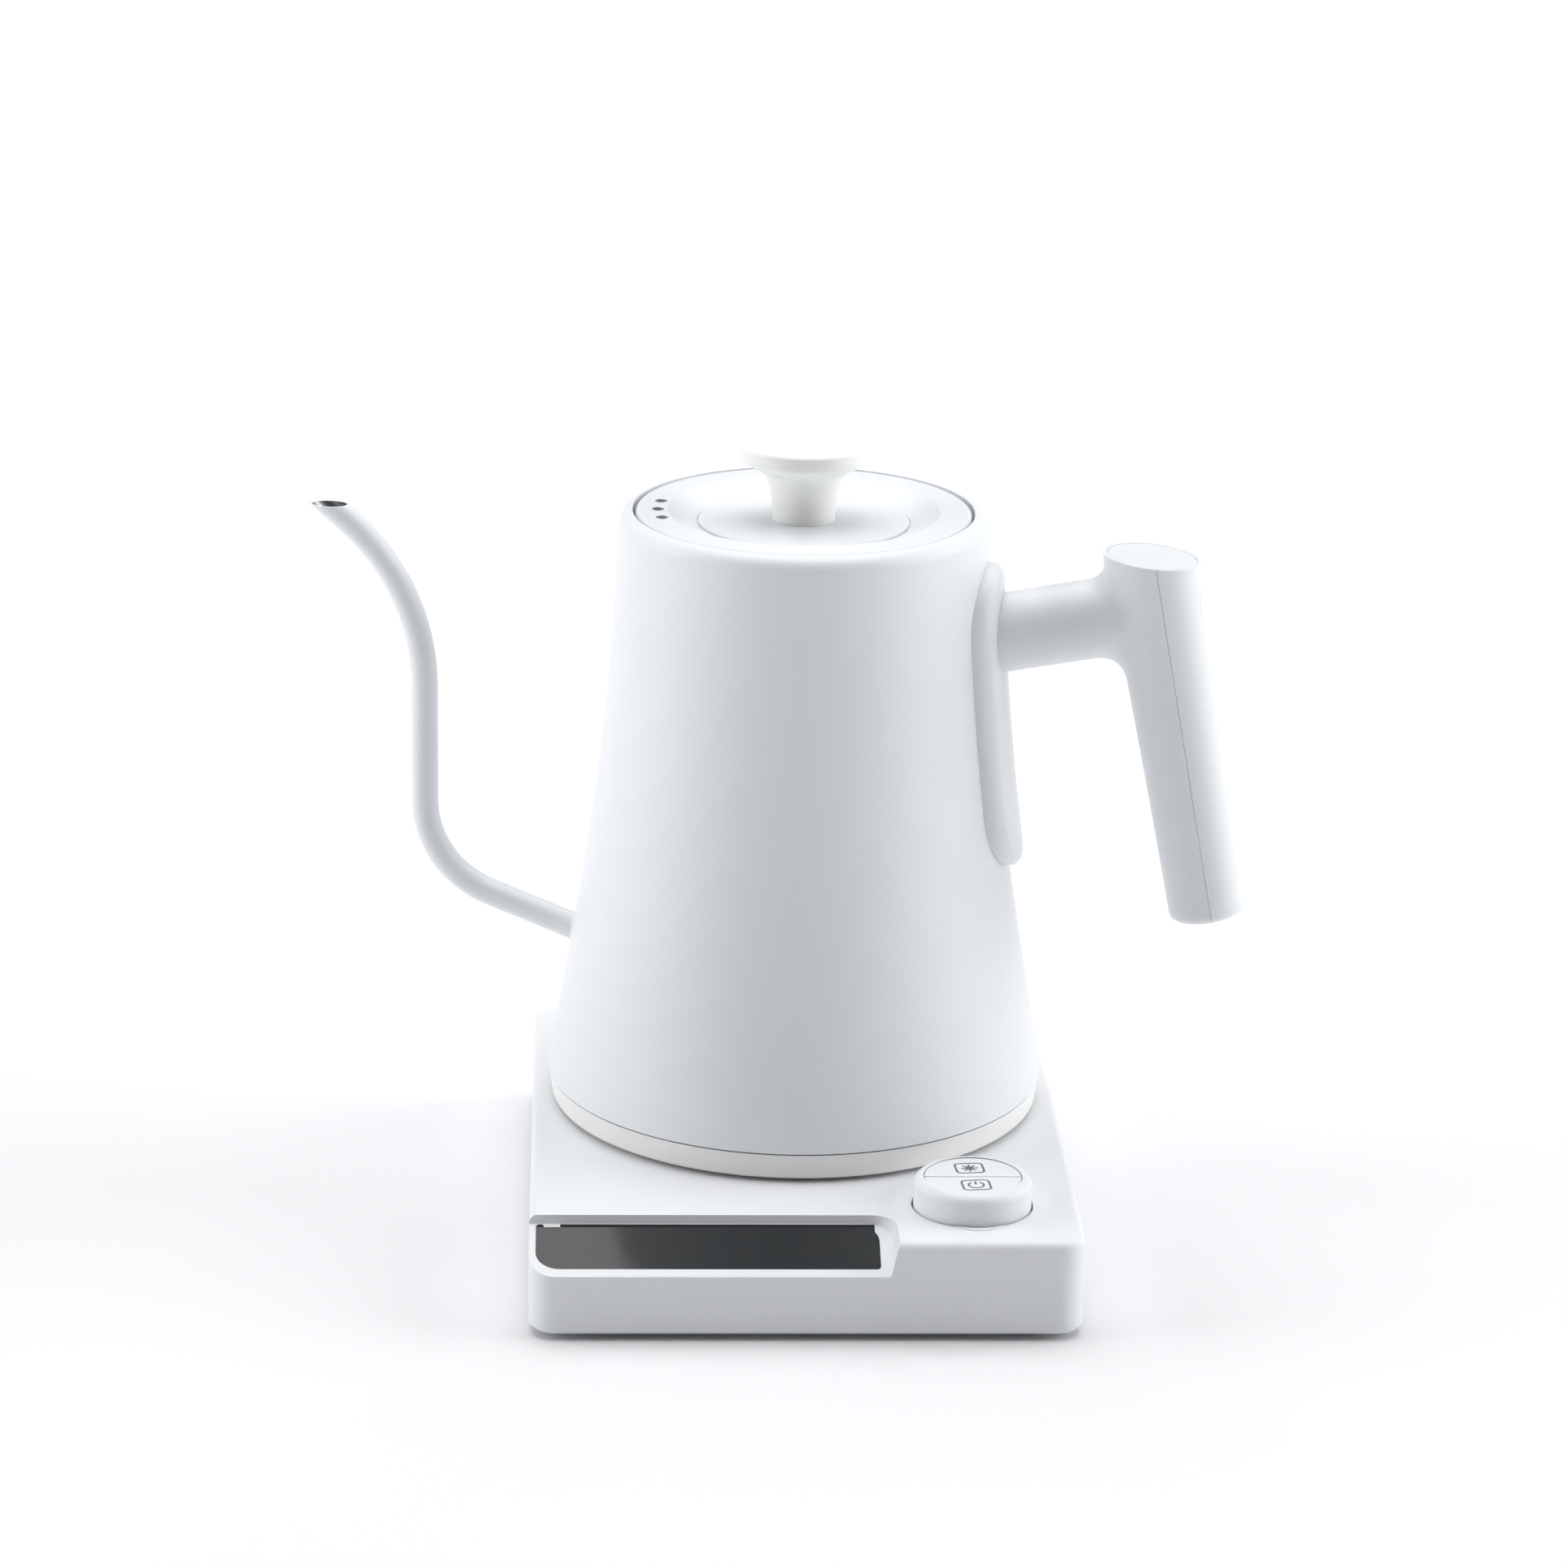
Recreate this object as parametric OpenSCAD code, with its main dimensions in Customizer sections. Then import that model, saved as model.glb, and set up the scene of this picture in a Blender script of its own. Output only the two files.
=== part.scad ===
// Electric gooseneck kettle on its heating base.
// Frame: +Z up, z = 0 on the worktop, the kettle's axis at x = y = 0.
// The base's front, with the display and the dial, faces -Y; the handle side is +X.

/* [Pose of the kettle on its base] */
// Turn of the kettle on its base, seen from above
kettle_turn = -10; // [-45:1:45]
// Direction of the steam vents in the lid
vent_turn = 180; // [0:5:355]

/* [Base] */
// Width of the base
base_w = 160; // [156:1:200]
// Height of the base's casing
base_h = 28.5; // [27:0.5:40]
// Radius of the casing's upright corners
base_corner_r = 8; // [6:0.5:14]
// Radius along the casing's top edge
base_edge_r = 2.4; // [1:0.1:2.8]
// Wall of the base's casing
base_wall = 2.4; // [2:0.1:3]
// Distance from the kettle's axis to the back of the base
axis_to_back = 75; // [74:1:90]
// How far the rubber feet hold the casing off the worktop
foot_h = 2; // [1.5:0.5:5]
// Radius of the bore in the cord gland
cord_r = 3.3; // [2.5:0.1:4]

/* [Display] */
// Depth of the recess, front to back
recess_d = 21; // [19:0.5:24]
// Height of the recess's back wall
recess_back_h = 2.6; // [2:0.1:4]
// Height of the step down at the front of the recess
recess_front_h = 9.4; // [8:0.2:11]
// How far the recess's end wall leans outward
recess_lean = 2.4; // [1:0.2:5]
// Thickness of the display glass
glass_t = 1.6; // [1:0.1:2]

/* [Dial and buttons] */
// Distance of the dial from the kettle's axis, to the right
dial_x = 48.8; // [44:0.2:54]
// Gap between the kettle's skirt and the dial
dial_gap = 9.8; // [8:0.2:14]
// Distance from the dial's edge to the front of the base
dial_margin = 12; // [11:0.5:20]
// Outer radius of the dial ring
dial_r = 17.2; // [16.5:0.1:18]
// How far the dial stands above the base
dial_h = 9; // [7:0.5:11]
// Wall of the dial ring
dial_wall = 2.8; // [2.4:0.1:3]
// Travel of each push button
button_travel = 0.8; // [0.4:0.1:0.8]

/* [Kettle body] */
// Outer radius at the seam between the shell and the skirt
body_r = 75.2; // [72:0.2:78]
// Lean of the lower cone from upright
cone_lean = 9.54; // [8.5:0.02:9.6]
// Height of the lower cone
cone_h = 50; // [45:1:55]
// Radius of the long hollow curve above the cone
hollow_r = 898; // [880:1:900]
// Lean of the wall where it meets the shoulder
top_lean = 1.78; // [1.7:0.02:2]
// Radius of the shoulder around the lid
shoulder_r = 4.4; // [4:0.1:4.6]
// Thickness of the steel sheet
sheet_t = 0.8; // [0.6:0.1:1]
// Height of the plastic skirt under the seam
skirt_h = 8; // [7:0.5:9]
// Gap under the skirt
skirt_gap = 1; // [0.6:0.1:1.5]

/* [Lid] */
// Gap around the lid
lid_gap = 0.9; // [0.6:0.1:1.2]
// How far the lid's middle is dished
lid_dish = 2.7; // [2:0.1:3.5]
// Width of the dished ring between the lid's margin and its raised disc
lid_ring_w = 9.2; // [7:0.2:12]
// Radius of the lid's knob
knob_r = 19.5; // [17:0.5:22]
// Height of the knob above the disc
knob_h = 23.4; // [20:0.2:26]
// Radius of the knob's stem where it meets the disc
stem_r = 9.2; // [8:0.2:10]
// Radius of each steam vent
vent_r = 1.9; // [1.5:0.1:2.2]

/* [Spout] */
// Outer diameter of the spout tube
spout_d = 8.1; // [7.5:0.1:9]
// Wall of the spout tube
spout_wall = 0.65; // [0.5:0.05:0.8]
// Rise of the spout's lower stretch above level
spout_rise = 20; // [15:1:25]
// How far the upright stretch stands out beyond the seam
spout_out = 39.6; // [36:0.2:45]
// Radius of the lower bend
bend_low_r = 30; // [26:1:32]
// Radius of the upper bend
bend_top_r = 66; // [60:1:70]
// Turn of the upper bend
bend_top_a = 50; // [45:1:55]
// Height above the seam where the lower bend ends
bend_low_h = 77.6; // [74:0.2:80]
// Height above the seam where the upper bend starts
bend_top_h = 114.5; // [112:0.2:117]
// Height of the pouring edge above the seam
spout_tip_h = 169.4; // [166:0.2:174]

/* [Handle] */
// Height above the seam at which the arm's line meets the kettle's axis
arm_h = 127.8; // [124:0.2:131]
// Rise of the arm above level
arm_tilt = 12.2; // [8:0.2:15]
// Radius of the arm
arm_r = 11.8; // [11:0.1:12.5]
// How far the middle of the grip's top stands out beyond the seam
grip_out = 28.5; // [26:0.1:31]
// Height of the grip's top above the seam
grip_top_h = 166.6; // [163:0.2:168]
// Lean of the grip from upright
grip_tilt = 10.7; // [8:0.1:13]
// Length of the grip
grip_l = 112.2; // [100:0.2:120]
// Slope of the grip's cap from level, down to the outer side
cap_slope = 4.8; // [2:0.2:8]
// Radius of the grip at its top
grip_top_r = 14.2; // [13.8:0.1:15]
// Radius of the grip at its bottom
grip_end_r = 11.4; // [11:0.1:12.5]
// Wall of the handle's two shells
grip_wall = 2.4; // [2:0.1:2.8]
// Parting plane of the two shells, outward from the grip's axis
parting_x = 2; // [0:0.2:3]
// Height of the plate's middle above the seam
plate_mid_h = 115.3; // [112:0.1:118]
// Height of the plate behind the arm
plate_h = 92.5; // [85:0.5:100]
// Width of the plate
plate_w = 38; // [34:1:42]
// How far the plate stands off the body
plate_t = 4.8; // [4:0.2:6]

/* [Hidden] */
$fn = 96;

// Clearances shared by neighbouring pieces
fit_gap = 0.05;    // faces that meet inside one body
slip_gap = 0.3;    // pieces of different bodies that pass each other
cut = 1;           // overshoot of every cutting tool

// Places of the dial and of the base's edges
dial_y = -sqrt(pow(body_r + dial_gap + dial_r, 2) - pow(dial_x, 2));
dial_hole_r = dial_r + 0.6;
dial_flange_r = dial_hole_r + 2;
base_front_y = dial_y - dial_r - dial_margin;
base_d = axis_to_back - base_front_y;
base_mid_y = axis_to_back - base_d / 2;

// Levels of the base
base_top = foot_h + base_h;
under_edge_r = 1.2;
corner_steps = 12;
edge_steps = 6;
ceiling_z = base_top - base_wall;
floor_t = 2.2;
floor_top = foot_h + floor_t;
plinth_r = 31;
plinth_h = 2.8;
plinth_top = base_top + plinth_h;

// Fasteners and posts of the base
post_r = 3.6;
screw_r = 1.4;
screw_head_r = 2.7;
screw_head_h = 1.7;
screw_l = 12;
screw_sunk = 0.3;
screw_x = base_w / 2 - 13;
screw_front_y = dial_y + dial_flange_r + post_r + 1;
screw_back_y = axis_to_back - 30;
foot_r = 7;
foot_inset = 17;
foot_sunk = 0.8;
foot_hollow_r = 4;
foot_hollow = 0.6;
vent_x = 34;
vent_l = 26;
vent_w = 2;

// Display recess and the pieces that follow its slope
recess_back_y = base_front_y + recess_d;
recess_clear = 0.4;
recess_end_x = dial_x - dial_flange_r - recess_lean - base_wall - recess_clear;
recess_w = recess_end_x + base_w / 2;
recess_end_r = 7.6;
recess_back_lean = 1;
slope_front_y = base_front_y + 2.6;
slope_run = recess_back_y - slope_front_y;
slope_a = atan((recess_front_h - recess_back_h) / slope_run);
slope_l = slope_run / cos(slope_a);
glass_side = 2;
glass_edge = 0.5;
glass_end_gap = 2.7;
glass_back_gap = 0.5;
glass_w = recess_w - glass_side - glass_end_gap;
glass_l = slope_l - glass_edge - glass_back_gap;
glass_big_r = 7;
glass_small_r = 1.2;
glass_ledge = 1.5;
module_t = 2.6;
lamp_board_t = 1.6;

// Cord gland
gland_x = 52;
gland_z = 14;
gland_r = 5.6;
gland_lip = 1.6;
gland_lip_t = 1.4;
gland_in = base_wall + 3;

// Power electronics
board_z = 8;
board_t = 1.6;
board_w = 78;
board_d = 66;
board_x = -22;
board_y = -42;
board_post_r = 2.6;
board_hole_r = 1.2;
parts_z = board_z + board_t + fit_gap;

// 360-degree connector
neck_r = 20;
flange_r = 24;
boss_r = 16.5;
boss_top = plinth_top + 8.2;
ring_slot_r = 11.5;
ring_slot_w = 2.4;
pin_r = 1.9;
pin_bush_r = 3.2;
flange_t = 6;
blade_l = 3.5;
connector_screw_r = 1;
connector_screw_ring_r = neck_r + 2;
connector_bore_t = 3.4;

// Dial and buttons
dial_top = base_top + dial_h;
dial_bore_r = dial_r - dial_wall;
dial_edge_r = 2.6;
button_r = dial_bore_r - slip_gap;
button_t = 2;
button_dip = 0.3;
button_split = 0.4;
post_out_r = dial_bore_r - 0.5;
post_in_r = post_out_r - 1.2;
switch_top = dial_top - button_dip - button_t - button_travel - 1.4;
switch_h = 3.5;
switch_w = 6;
switch_margin = 2;
switch_y = sqrt(pow(post_in_r - switch_margin, 2) - pow(switch_w / 2, 2)) - switch_w / 2;
dial_foot_z = ceiling_z - 4.2;
dial_flange_t = 3.6;

// Kettle body
skirt_z = base_top + skirt_gap;
shell_z = skirt_z + skirt_h + 0.5;
cone_top_z = shell_z + cone_h;
cone_top_r = body_r - cone_h * tan(cone_lean);
wall_top_r = cone_top_r - hollow_r * (cos(top_lean) - cos(cone_lean));
wall_top_z = cone_top_z + hollow_r * (sin(cone_lean) - sin(top_lean));
shoulder_mid_r = wall_top_r - shoulder_r * cos(top_lean);
shoulder_mid_z = wall_top_z - shoulder_r * sin(top_lean);
rim_z = shoulder_mid_z + shoulder_r;
rim_r = shoulder_mid_r + 0.4;
seat_z = rim_z - 6.8;
seat_r = rim_r - 4.4;
wall_steps = 12;
skirt_t = 2.2;
skirt_round = 1.8;
shoulder_steps = 16;
skirt_screw_ring_r = body_r - 13.2;
skirt_screw_r = 1.5;
skirt_screw_head_r = 3;

// Heating pack under the vessel's floor
pan_z = shell_z + 18;
pan_t = 1;
pan_lip = 6;
spreader_t = 2;
spreader_r = body_r - 23.2;
element_r = 3.4;
element_ring_r = spreader_r - 10;
element_z = pan_z - spreader_t - element_r - 3 * fit_gap;
element_gap_a = 25;
lead_r = 1.6;
lead_l = 8;
sensor_x = 30;
sensor_r = 2.2;
sensor_body_r = 4;
cutout_y = 13;
cutout_r = 6;
cutout_t = 4;
socket_r = neck_r + 3;
socket_low = plinth_top + 1.2;
socket_top = plinth_top + 13;

// Lid
lid_r = rim_r - lid_gap;
lid_t = 1.2;
lid_top = rim_z;
lid_pan_z = lid_top - lid_dish - 1.5;
lid_margin_r = lid_r - 9.5;
disc_r = lid_margin_r - lid_ring_w;
lid_foot_z = seat_z + slip_gap;
cup_r = seat_r - 1.9;
cup_h = 11;
disc_top = lid_top - lid_dish;
knob_top = disc_top + knob_h;
knob_rim_h = 5;
knob_neck_share = 0.65;
knob_flare = 2.6;
knob_edge_r = 1.2;
knob_screw_r = 2;
knob_screw_head_r = 4;
knob_screw_head_h = 3.2;
knob_screw_grip = 10;
lid_edge_r = 1.2;
cup_t = 0.8;
cup_edge = 2;
vent_ring_r = lid_r - 6.8;
vent_step = 12.5;

// Spout
spout_r = spout_d / 2;
spout_bore_r = spout_r - spout_wall;
spout_reach = body_r + spout_out;
bend_low_end_z = shell_z + bend_low_h;
bend_low_start = [spout_reach - bend_low_r * (1 - sin(spout_rise)),
    bend_low_end_z - bend_low_r * cos(spout_rise)];
bend_top_start_z = shell_z + bend_top_h;
spout_tip_z = shell_z + spout_tip_h;
spout_root_l = (bend_low_start[0] - body_r + 9) / cos(spout_rise);
spout_tip_l = 12;
bend_steps = 9;
tube_sides = 24;

// Handle
arm_z = shell_z + arm_h;
arm_cos = cos(arm_tilt);
arm_wall_z = arm_z + wall_r(arm_z) * tan(arm_tilt);
arm_wall_l = wall_r(arm_wall_z) / arm_cos;      // along the arm, where it meets the body's wall
arm_start = arm_wall_l + 1;
grip_top_x = body_r + grip_out;
grip_top_z = shell_z + grip_top_h;
grip_cross = (grip_top_z - arm_z - grip_top_x * tan(arm_tilt))
    / (cos(grip_tilt) + sin(grip_tilt) * tan(arm_tilt));
arm_end = (grip_top_x + grip_cross * sin(grip_tilt)) / arm_cos;    // along the arm, on the grip's axis
grip_steps = 14;
grip_round = 2.4;
grip_power = 1.35;
flare_r = 8;
flare_out = 12.5;
flare_side = 0.6;
cap_t = 2.2;
cap_r = grip_top_r - 0.8;
cap_rise = grip_top_r * tan(grip_tilt + cap_slope) + 1;    // the grip is drawn this far above the cap
cap_edge = 0.4;
plate_mid_z = shell_z + plate_mid_h;
plate_end_r = plate_w / 2;
stud_r = 5;
stud_root_l = arm_wall_l - 7;
stud_end_l = arm_wall_l + plate_t + 5;
low_stud_r = 3;
low_stud_z = shell_z + 84;
low_stud_in = 3;
bolt_r = 2.5;
bolt_head_r = 4.4;
bolt_head_h = 3.4;
bolt_start_l = stud_end_l - 5.3;
sleeve_r = 6.5;
sleeve_out = 2;
plug_r = 5.8;
plug_in = 9;
half_box = 50;    // half width of the blocks that part the two shells

// ---------- shared shapes ----------

// Rectangle with round corners, centred
module round_rect(w, d, r) {
    square([w - 2 * r, d], center = true);
    square([w, d - 2 * r], center = true);
    for (x = [-1, 1], y = [-1, 1])
        translate([x * (w / 2 - r), y * (d / 2 - r)])
            circle(r);
}

// Points around a rectangle with round corners, centred, at a height
function rect_ring(w, d, r, z) = [
    for (q = [0:3], i = [0:corner_steps])
        let (a = 90 * (q + i / corner_steps), x = q == 0 || q == 3 ? 1 : -1, y = q < 2 ? 1 : -1)
        [x * (w / 2 - r) + r * cos(a), y * (d / 2 - r) + r * sin(a), z]];

// Solid through a stack of point rings, closed at both ends
module ring_stack(rings) {
    n = len(rings[0]);
    last = len(rings) - 1;
    side = [for (i = [0:last - 1], k = [0:n - 1])
        let (a = i * n + k, b = i * n + (k + 1) % n)
        [a, a + n, b + n, b]];
    low_end = [for (k = [0:n - 1]) k];
    high_end = [for (k = [n - 1:-1:0]) last * n + k];
    polyhedron([for (ring = rings) each ring], concat(side, [low_end, high_end]));
}

// Slab with round corners, a rounded top edge and a bevelled bottom edge
module soft_slab(w, d, h, r, top, low) {
    ring_stack(concat(
        [rect_ring(w - 2 * low, d - 2 * low, r - low, 0), rect_ring(w, d, r, low)],
        [for (i = [0:edge_steps])
            let (a = 90 * i / edge_steps, inset = top * (1 - cos(a)))
            rect_ring(w - 2 * inset, d - 2 * inset, r - inset, h - top + top * sin(a))]));
}

// Plain tube standing on z = 0
module tube(r, bore, h) {
    difference() {
        cylinder(r = r, h = h);
        translate([0, 0, -cut])
            cylinder(r = bore, h = h + 2 * cut);
    }
}

// Children at the four screw places of the base
module at_base_screws() {
    for (x = [-1, 1], y = [screw_front_y, screw_back_y])
        translate([x * screw_x, y, 0])
            children();
}

// Children at the four feet
module at_feet() {
    for (x = [-1, 1], y = [-1, 1])
        translate([x * (base_w / 2 - foot_inset), base_mid_y + y * (base_d / 2 - foot_inset), 0])
            children();
}

// Children around the axis at a radius
module ring_of(count, r, start = 0) {
    for (i = [0:count - 1])
        rotate([0, 0, start + i * 360 / count])
            translate([r, 0, 0])
                children();
}

// Children in the dial's own place
module at_dial() {
    translate([dial_x, dial_y, 0])
        children();
}

// Children turned with the kettle
module on_kettle() {
    rotate([0, 0, kettle_turn])
        children();
}

// Children along the arm: local z runs outward from the kettle's axis
module along_arm() {
    translate([0, 0, arm_z])
        rotate([0, 90 - arm_tilt, 0])
            children();
}

// Children along the grip: local z runs up, with 0 at the top of the grip
module along_grip() {
    translate([grip_top_x, 0, grip_top_z])
        rotate([0, -grip_tilt, 0])
            children();
}

// Children at the grip's cap: local z runs out of its face, with 0 on the face
module at_cap() {
    translate([grip_top_x, 0, grip_top_z])
        rotate([0, cap_slope, 0])
            children();
}

// ---------- base ----------

// Outline of the display recess, open to the left and to the front
module recess_outline(end_x, back_y) {
    hull() {
        translate([-base_w / 2 - cut, base_front_y - cut])
            square([cut, back_y - base_front_y + cut]);
        translate([end_x - 1, base_front_y - cut])
            square([1, 1]);
        translate([end_x - recess_end_r, back_y - recess_end_r])
            circle(recess_end_r, $fn = 48);
    }
}

// Space of the display recess, grown by a margin on its closed sides
module recess_space(grow) {
    low_z = base_top - recess_front_h - grow;
    intersection() {
        hull() {
            translate([0, 0, low_z - cut])
                linear_extrude(cut)
                    recess_outline(recess_end_x + grow, recess_back_y - recess_back_lean + grow);
            translate([0, 0, base_top + grow])
                linear_extrude(cut)
                    recess_outline(recess_end_x + recess_lean + grow, recess_back_y + grow);
        }
        translate([-base_w, slope_front_y, low_z])
            rotate([slope_a, 0, 0])
                translate([0, -base_d / 4, 0])
                    cube([2 * base_w, base_d, base_h * 2]);
    }
}

// Children on the display slope: x along it, y up the slope, z out of it
module on_slope() {
    translate([-base_w / 2, slope_front_y, base_top - recess_front_h])
        rotate([slope_a, 0, 0])
            children();
}

// Outline of the display glass, with a large radius at its top right and bottom left
module glass_outline(grow = 0) {
    big = glass_big_r;
    small = glass_small_r;
    w = glass_w + 2 * grow;
    l = glass_l + 2 * grow;
    translate([glass_side - grow, glass_edge - grow]) {
        translate([big, 0])
            square([w - big - small, l]);
        translate([0, big])
            square([w, l - 2 * big]);
        translate([0, l - big - small])
            square([w / 2, big]);
        translate([w / 2, small])
            square([w / 2, big]);
        translate([big, big])
            circle(big);
        translate([w - big, l - big])
            circle(big);
        translate([small, l - small])
            circle(small);
        translate([w - small, small])
            circle(small);
    }
}

module base_upper_cover() {
    inner_w = base_w - 2 * base_wall;
    inner_d = base_d - 2 * base_wall;
    inner_r = base_corner_r - base_wall;
    color("white")
    difference() {
        union() {
            difference() {
                translate([0, base_mid_y, foot_h])
                    soft_slab(base_w, base_d, base_h, base_corner_r, base_edge_r, under_edge_r);
                difference() {
                    translate([0, base_mid_y, foot_h - cut])
                        linear_extrude(base_h - base_wall + cut)
                            round_rect(inner_w, inner_d, inner_r);
                    recess_space(base_wall);
                    at_base_screws()
                        translate([0, 0, floor_top + fit_gap])
                            cylinder(r = post_r, h = base_h);
                }
            }
            cylinder_plinth();
        }
        recess_space(0);
        on_slope()
            translate([0, 0, -cut - base_wall * 2])
                linear_extrude(base_wall * 2 + 2 * cut)
                    glass_outline(-glass_ledge);
        on_slope()
            translate([0, 0, -glass_t])
                linear_extrude(glass_t + cut)
                    glass_outline(fit_gap);
        at_base_screws()
            translate([0, 0, floor_top - cut])
                cylinder(r = screw_r + fit_gap, h = screw_l + cut);
        translate([0, 0, ceiling_z - cut])
            cylinder(r = neck_r + fit_gap, h = base_wall + plinth_h + 2 * cut);
        ring_of(3, connector_screw_ring_r, 30)
            translate([0, 0, ceiling_z - cut])
                cylinder(r = connector_screw_r + fit_gap, h = connector_bore_t + cut);
        at_dial()
            translate([0, 0, ceiling_z - cut])
                cylinder(r = dial_hole_r, h = base_wall + 2 * cut);
        translate([gland_x, axis_to_back - base_wall - cut, gland_z])
            rotate([-90, 0, 0])
                cylinder(r = gland_r + fit_gap, h = base_wall + 2 * cut);
    }
}

// Round plinth that the kettle stands over
module cylinder_plinth() {
    rotate_extrude()
        polygon([[0, ceiling_z], [plinth_r, ceiling_z], [plinth_r, plinth_top - 0.8],
            [plinth_r - 0.8, plinth_top], [0, plinth_top]]);
}

module base_bottom_cover() {
    inset = 2 * (base_wall + fit_gap);
    color("gainsboro")
    difference() {
        union() {
            translate([0, base_mid_y, foot_h])
                linear_extrude(floor_t)
                    round_rect(base_w - inset, base_d - inset, base_corner_r - base_wall - fit_gap);
            at_board_posts()
                translate([0, 0, foot_h])
                    cylinder(r = board_post_r, h = board_z - foot_h - fit_gap);
        }
        at_base_screws() {
            translate([0, 0, foot_h - cut])
                cylinder(r = screw_r + fit_gap, h = floor_t + 2 * cut);
            translate([0, 0, foot_h - cut])
                cylinder(r = screw_head_r + fit_gap, h = screw_head_h - screw_sunk + cut);
        }
        at_feet()
            translate([0, 0, foot_h - cut])
                cylinder(r = foot_r + fit_gap, h = foot_sunk + cut);
        for (y = [-14:7:28])
            translate([vent_x, y, foot_h - cut])
                linear_extrude(floor_t + 2 * cut)
                    square([vent_l, vent_w], center = true);
    }
}

module rubber_feet() {
    color("dimgray")
    at_feet()
        difference() {
            cylinder(r = foot_r, h = foot_h + foot_sunk - fit_gap);
            translate([0, 0, -cut])
                cylinder(r = foot_hollow_r, h = foot_hollow + cut);
        }
}

module base_screws() {
    color("silver")
    at_base_screws() {
        translate([0, 0, foot_h + fit_gap])
            cylinder(r = screw_head_r, h = screw_head_h - screw_sunk - 2 * fit_gap);
        translate([0, 0, foot_h + screw_head_h / 2])
            cylinder(r = screw_r, h = screw_l);
    }
}

module cord_gland() {
    color("white")
    translate([gland_x, axis_to_back, gland_z])
        rotate([-90, 0, 0])
            difference() {
                union() {
                    translate([0, 0, fit_gap])
                        cylinder(r = gland_r + gland_lip, h = gland_lip_t);
                    translate([0, 0, -gland_in])
                        cylinder(r = gland_r, h = gland_in + gland_lip_t / 2);
                    translate([0, 0, -gland_in])
                        cylinder(r = gland_r + gland_lip, h = gland_in - base_wall - 3 * fit_gap);
                }
                translate([0, 0, -gland_in - cut])
                    cylinder(r = cord_r, h = gland_in + gland_lip_t + 2 * cut);
            }
}

module display_window() {
    color([0.1, 0.11, 0.12])
    on_slope()
        translate([0, 0, -glass_t + fit_gap])
            linear_extrude(glass_t - fit_gap)
                glass_outline();
}

module display_board() {
    color("darkgreen")
    on_slope() {
        translate([glass_side + 6, glass_edge + 2.4, -base_wall - 0.2 - module_t])
            cube([glass_w - 14, glass_l - 4.8, module_t]);
        translate([glass_side + 9, glass_edge + 3, -base_wall - 0.2 - module_t - lamp_board_t])
            cube([glass_w - 20, glass_l - 6, lamp_board_t]);
    }
}

// Base half of the 360-degree connector
module lower_connector() {
    color("white")
    difference() {
        rotate_extrude()
            polygon([[0, ceiling_z - flange_t], [flange_r, ceiling_z - flange_t],
                [flange_r, ceiling_z - fit_gap], [neck_r, ceiling_z - fit_gap], [neck_r, plinth_top - 0.2], [boss_r, plinth_top - 0.2],
                [boss_r, boss_top - 1.5], [boss_r - 1.5, boss_top], [0, boss_top]]);
        translate([0, 0, plinth_top])
            tube(ring_slot_r + ring_slot_w / 2, ring_slot_r - ring_slot_w / 2, boss_top - plinth_top + cut);
        translate([0, 0, ceiling_z - flange_t - cut])
            cylinder(r = pin_bush_r, h = boss_top - ceiling_z + flange_t + 2 * cut);
        ring_of(3, connector_screw_ring_r, 30)
            translate([0, 0, ceiling_z - flange_t - cut])
                cylinder(r = connector_screw_r + fit_gap, h = flange_t + 2 * cut);
    }
}

module connector_contacts() {
    color("goldenrod") {
        translate([0, 0, ceiling_z - flange_t - 3])
            tube(pin_bush_r - fit_gap, pin_r + slip_gap, boss_top - ceiling_z + flange_t + 2);
        translate([0, 0, plinth_top + fit_gap])
            tube(ring_slot_r + ring_slot_w / 2 - fit_gap, ring_slot_r + ring_slot_w / 2 - 0.5, 7);
        for (x = [-10, 10])
            translate([x, 0, ceiling_z - flange_t - blade_l])
                linear_extrude(blade_l - fit_gap)
                    square([0.8, 6.3], center = true);
    }
}

module connector_screws() {
    color("silver")
    ring_of(3, connector_screw_ring_r, 30) {
        translate([0, 0, ceiling_z - flange_t - 1.5])
            cylinder(r = 1.9, h = 1.5 - fit_gap);
        translate([0, 0, ceiling_z - flange_t - 1])
            cylinder(r = connector_screw_r, h = flange_t + 1 + connector_bore_t - 0.4);
    }
}

// Children at the four posts of the power board
module at_board_posts() {
    for (x = [-1, 1], y = [-1, 1])
        translate([board_x + x * (board_w / 2 - 4), board_y + y * (board_d / 2 - 4), 0])
            children();
}

module power_board() {
    color("darkgreen")
    difference() {
        translate([board_x, board_y, board_z])
            linear_extrude(board_t)
                square([board_w, board_d], center = true);
        at_board_posts()
            translate([0, 0, board_z - cut])
                cylinder(r = board_hole_r, h = board_t + 2 * cut);
    }
}

module relay() {
    color("black")
    translate([board_x - 28, board_y - 14, parts_z])
        cube([19, 15.5, 15.3]);
}

module transformer() {
    color("gold")
    translate([board_x - 2, board_y - 22, parts_z])
        cube([22, 18, 14]);
}

module filter_capacitors() {
    color("navy")
    for (i = [0:2])
        translate([board_x - 22 + i * 13, board_y - 28, parts_z])
            cylinder(r = 4.5, h = 12);
}

module buzzer() {
    color("black")
    translate([board_x + 28, board_y + 10, parts_z])
        tube(6, 1, 7);
}

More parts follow.
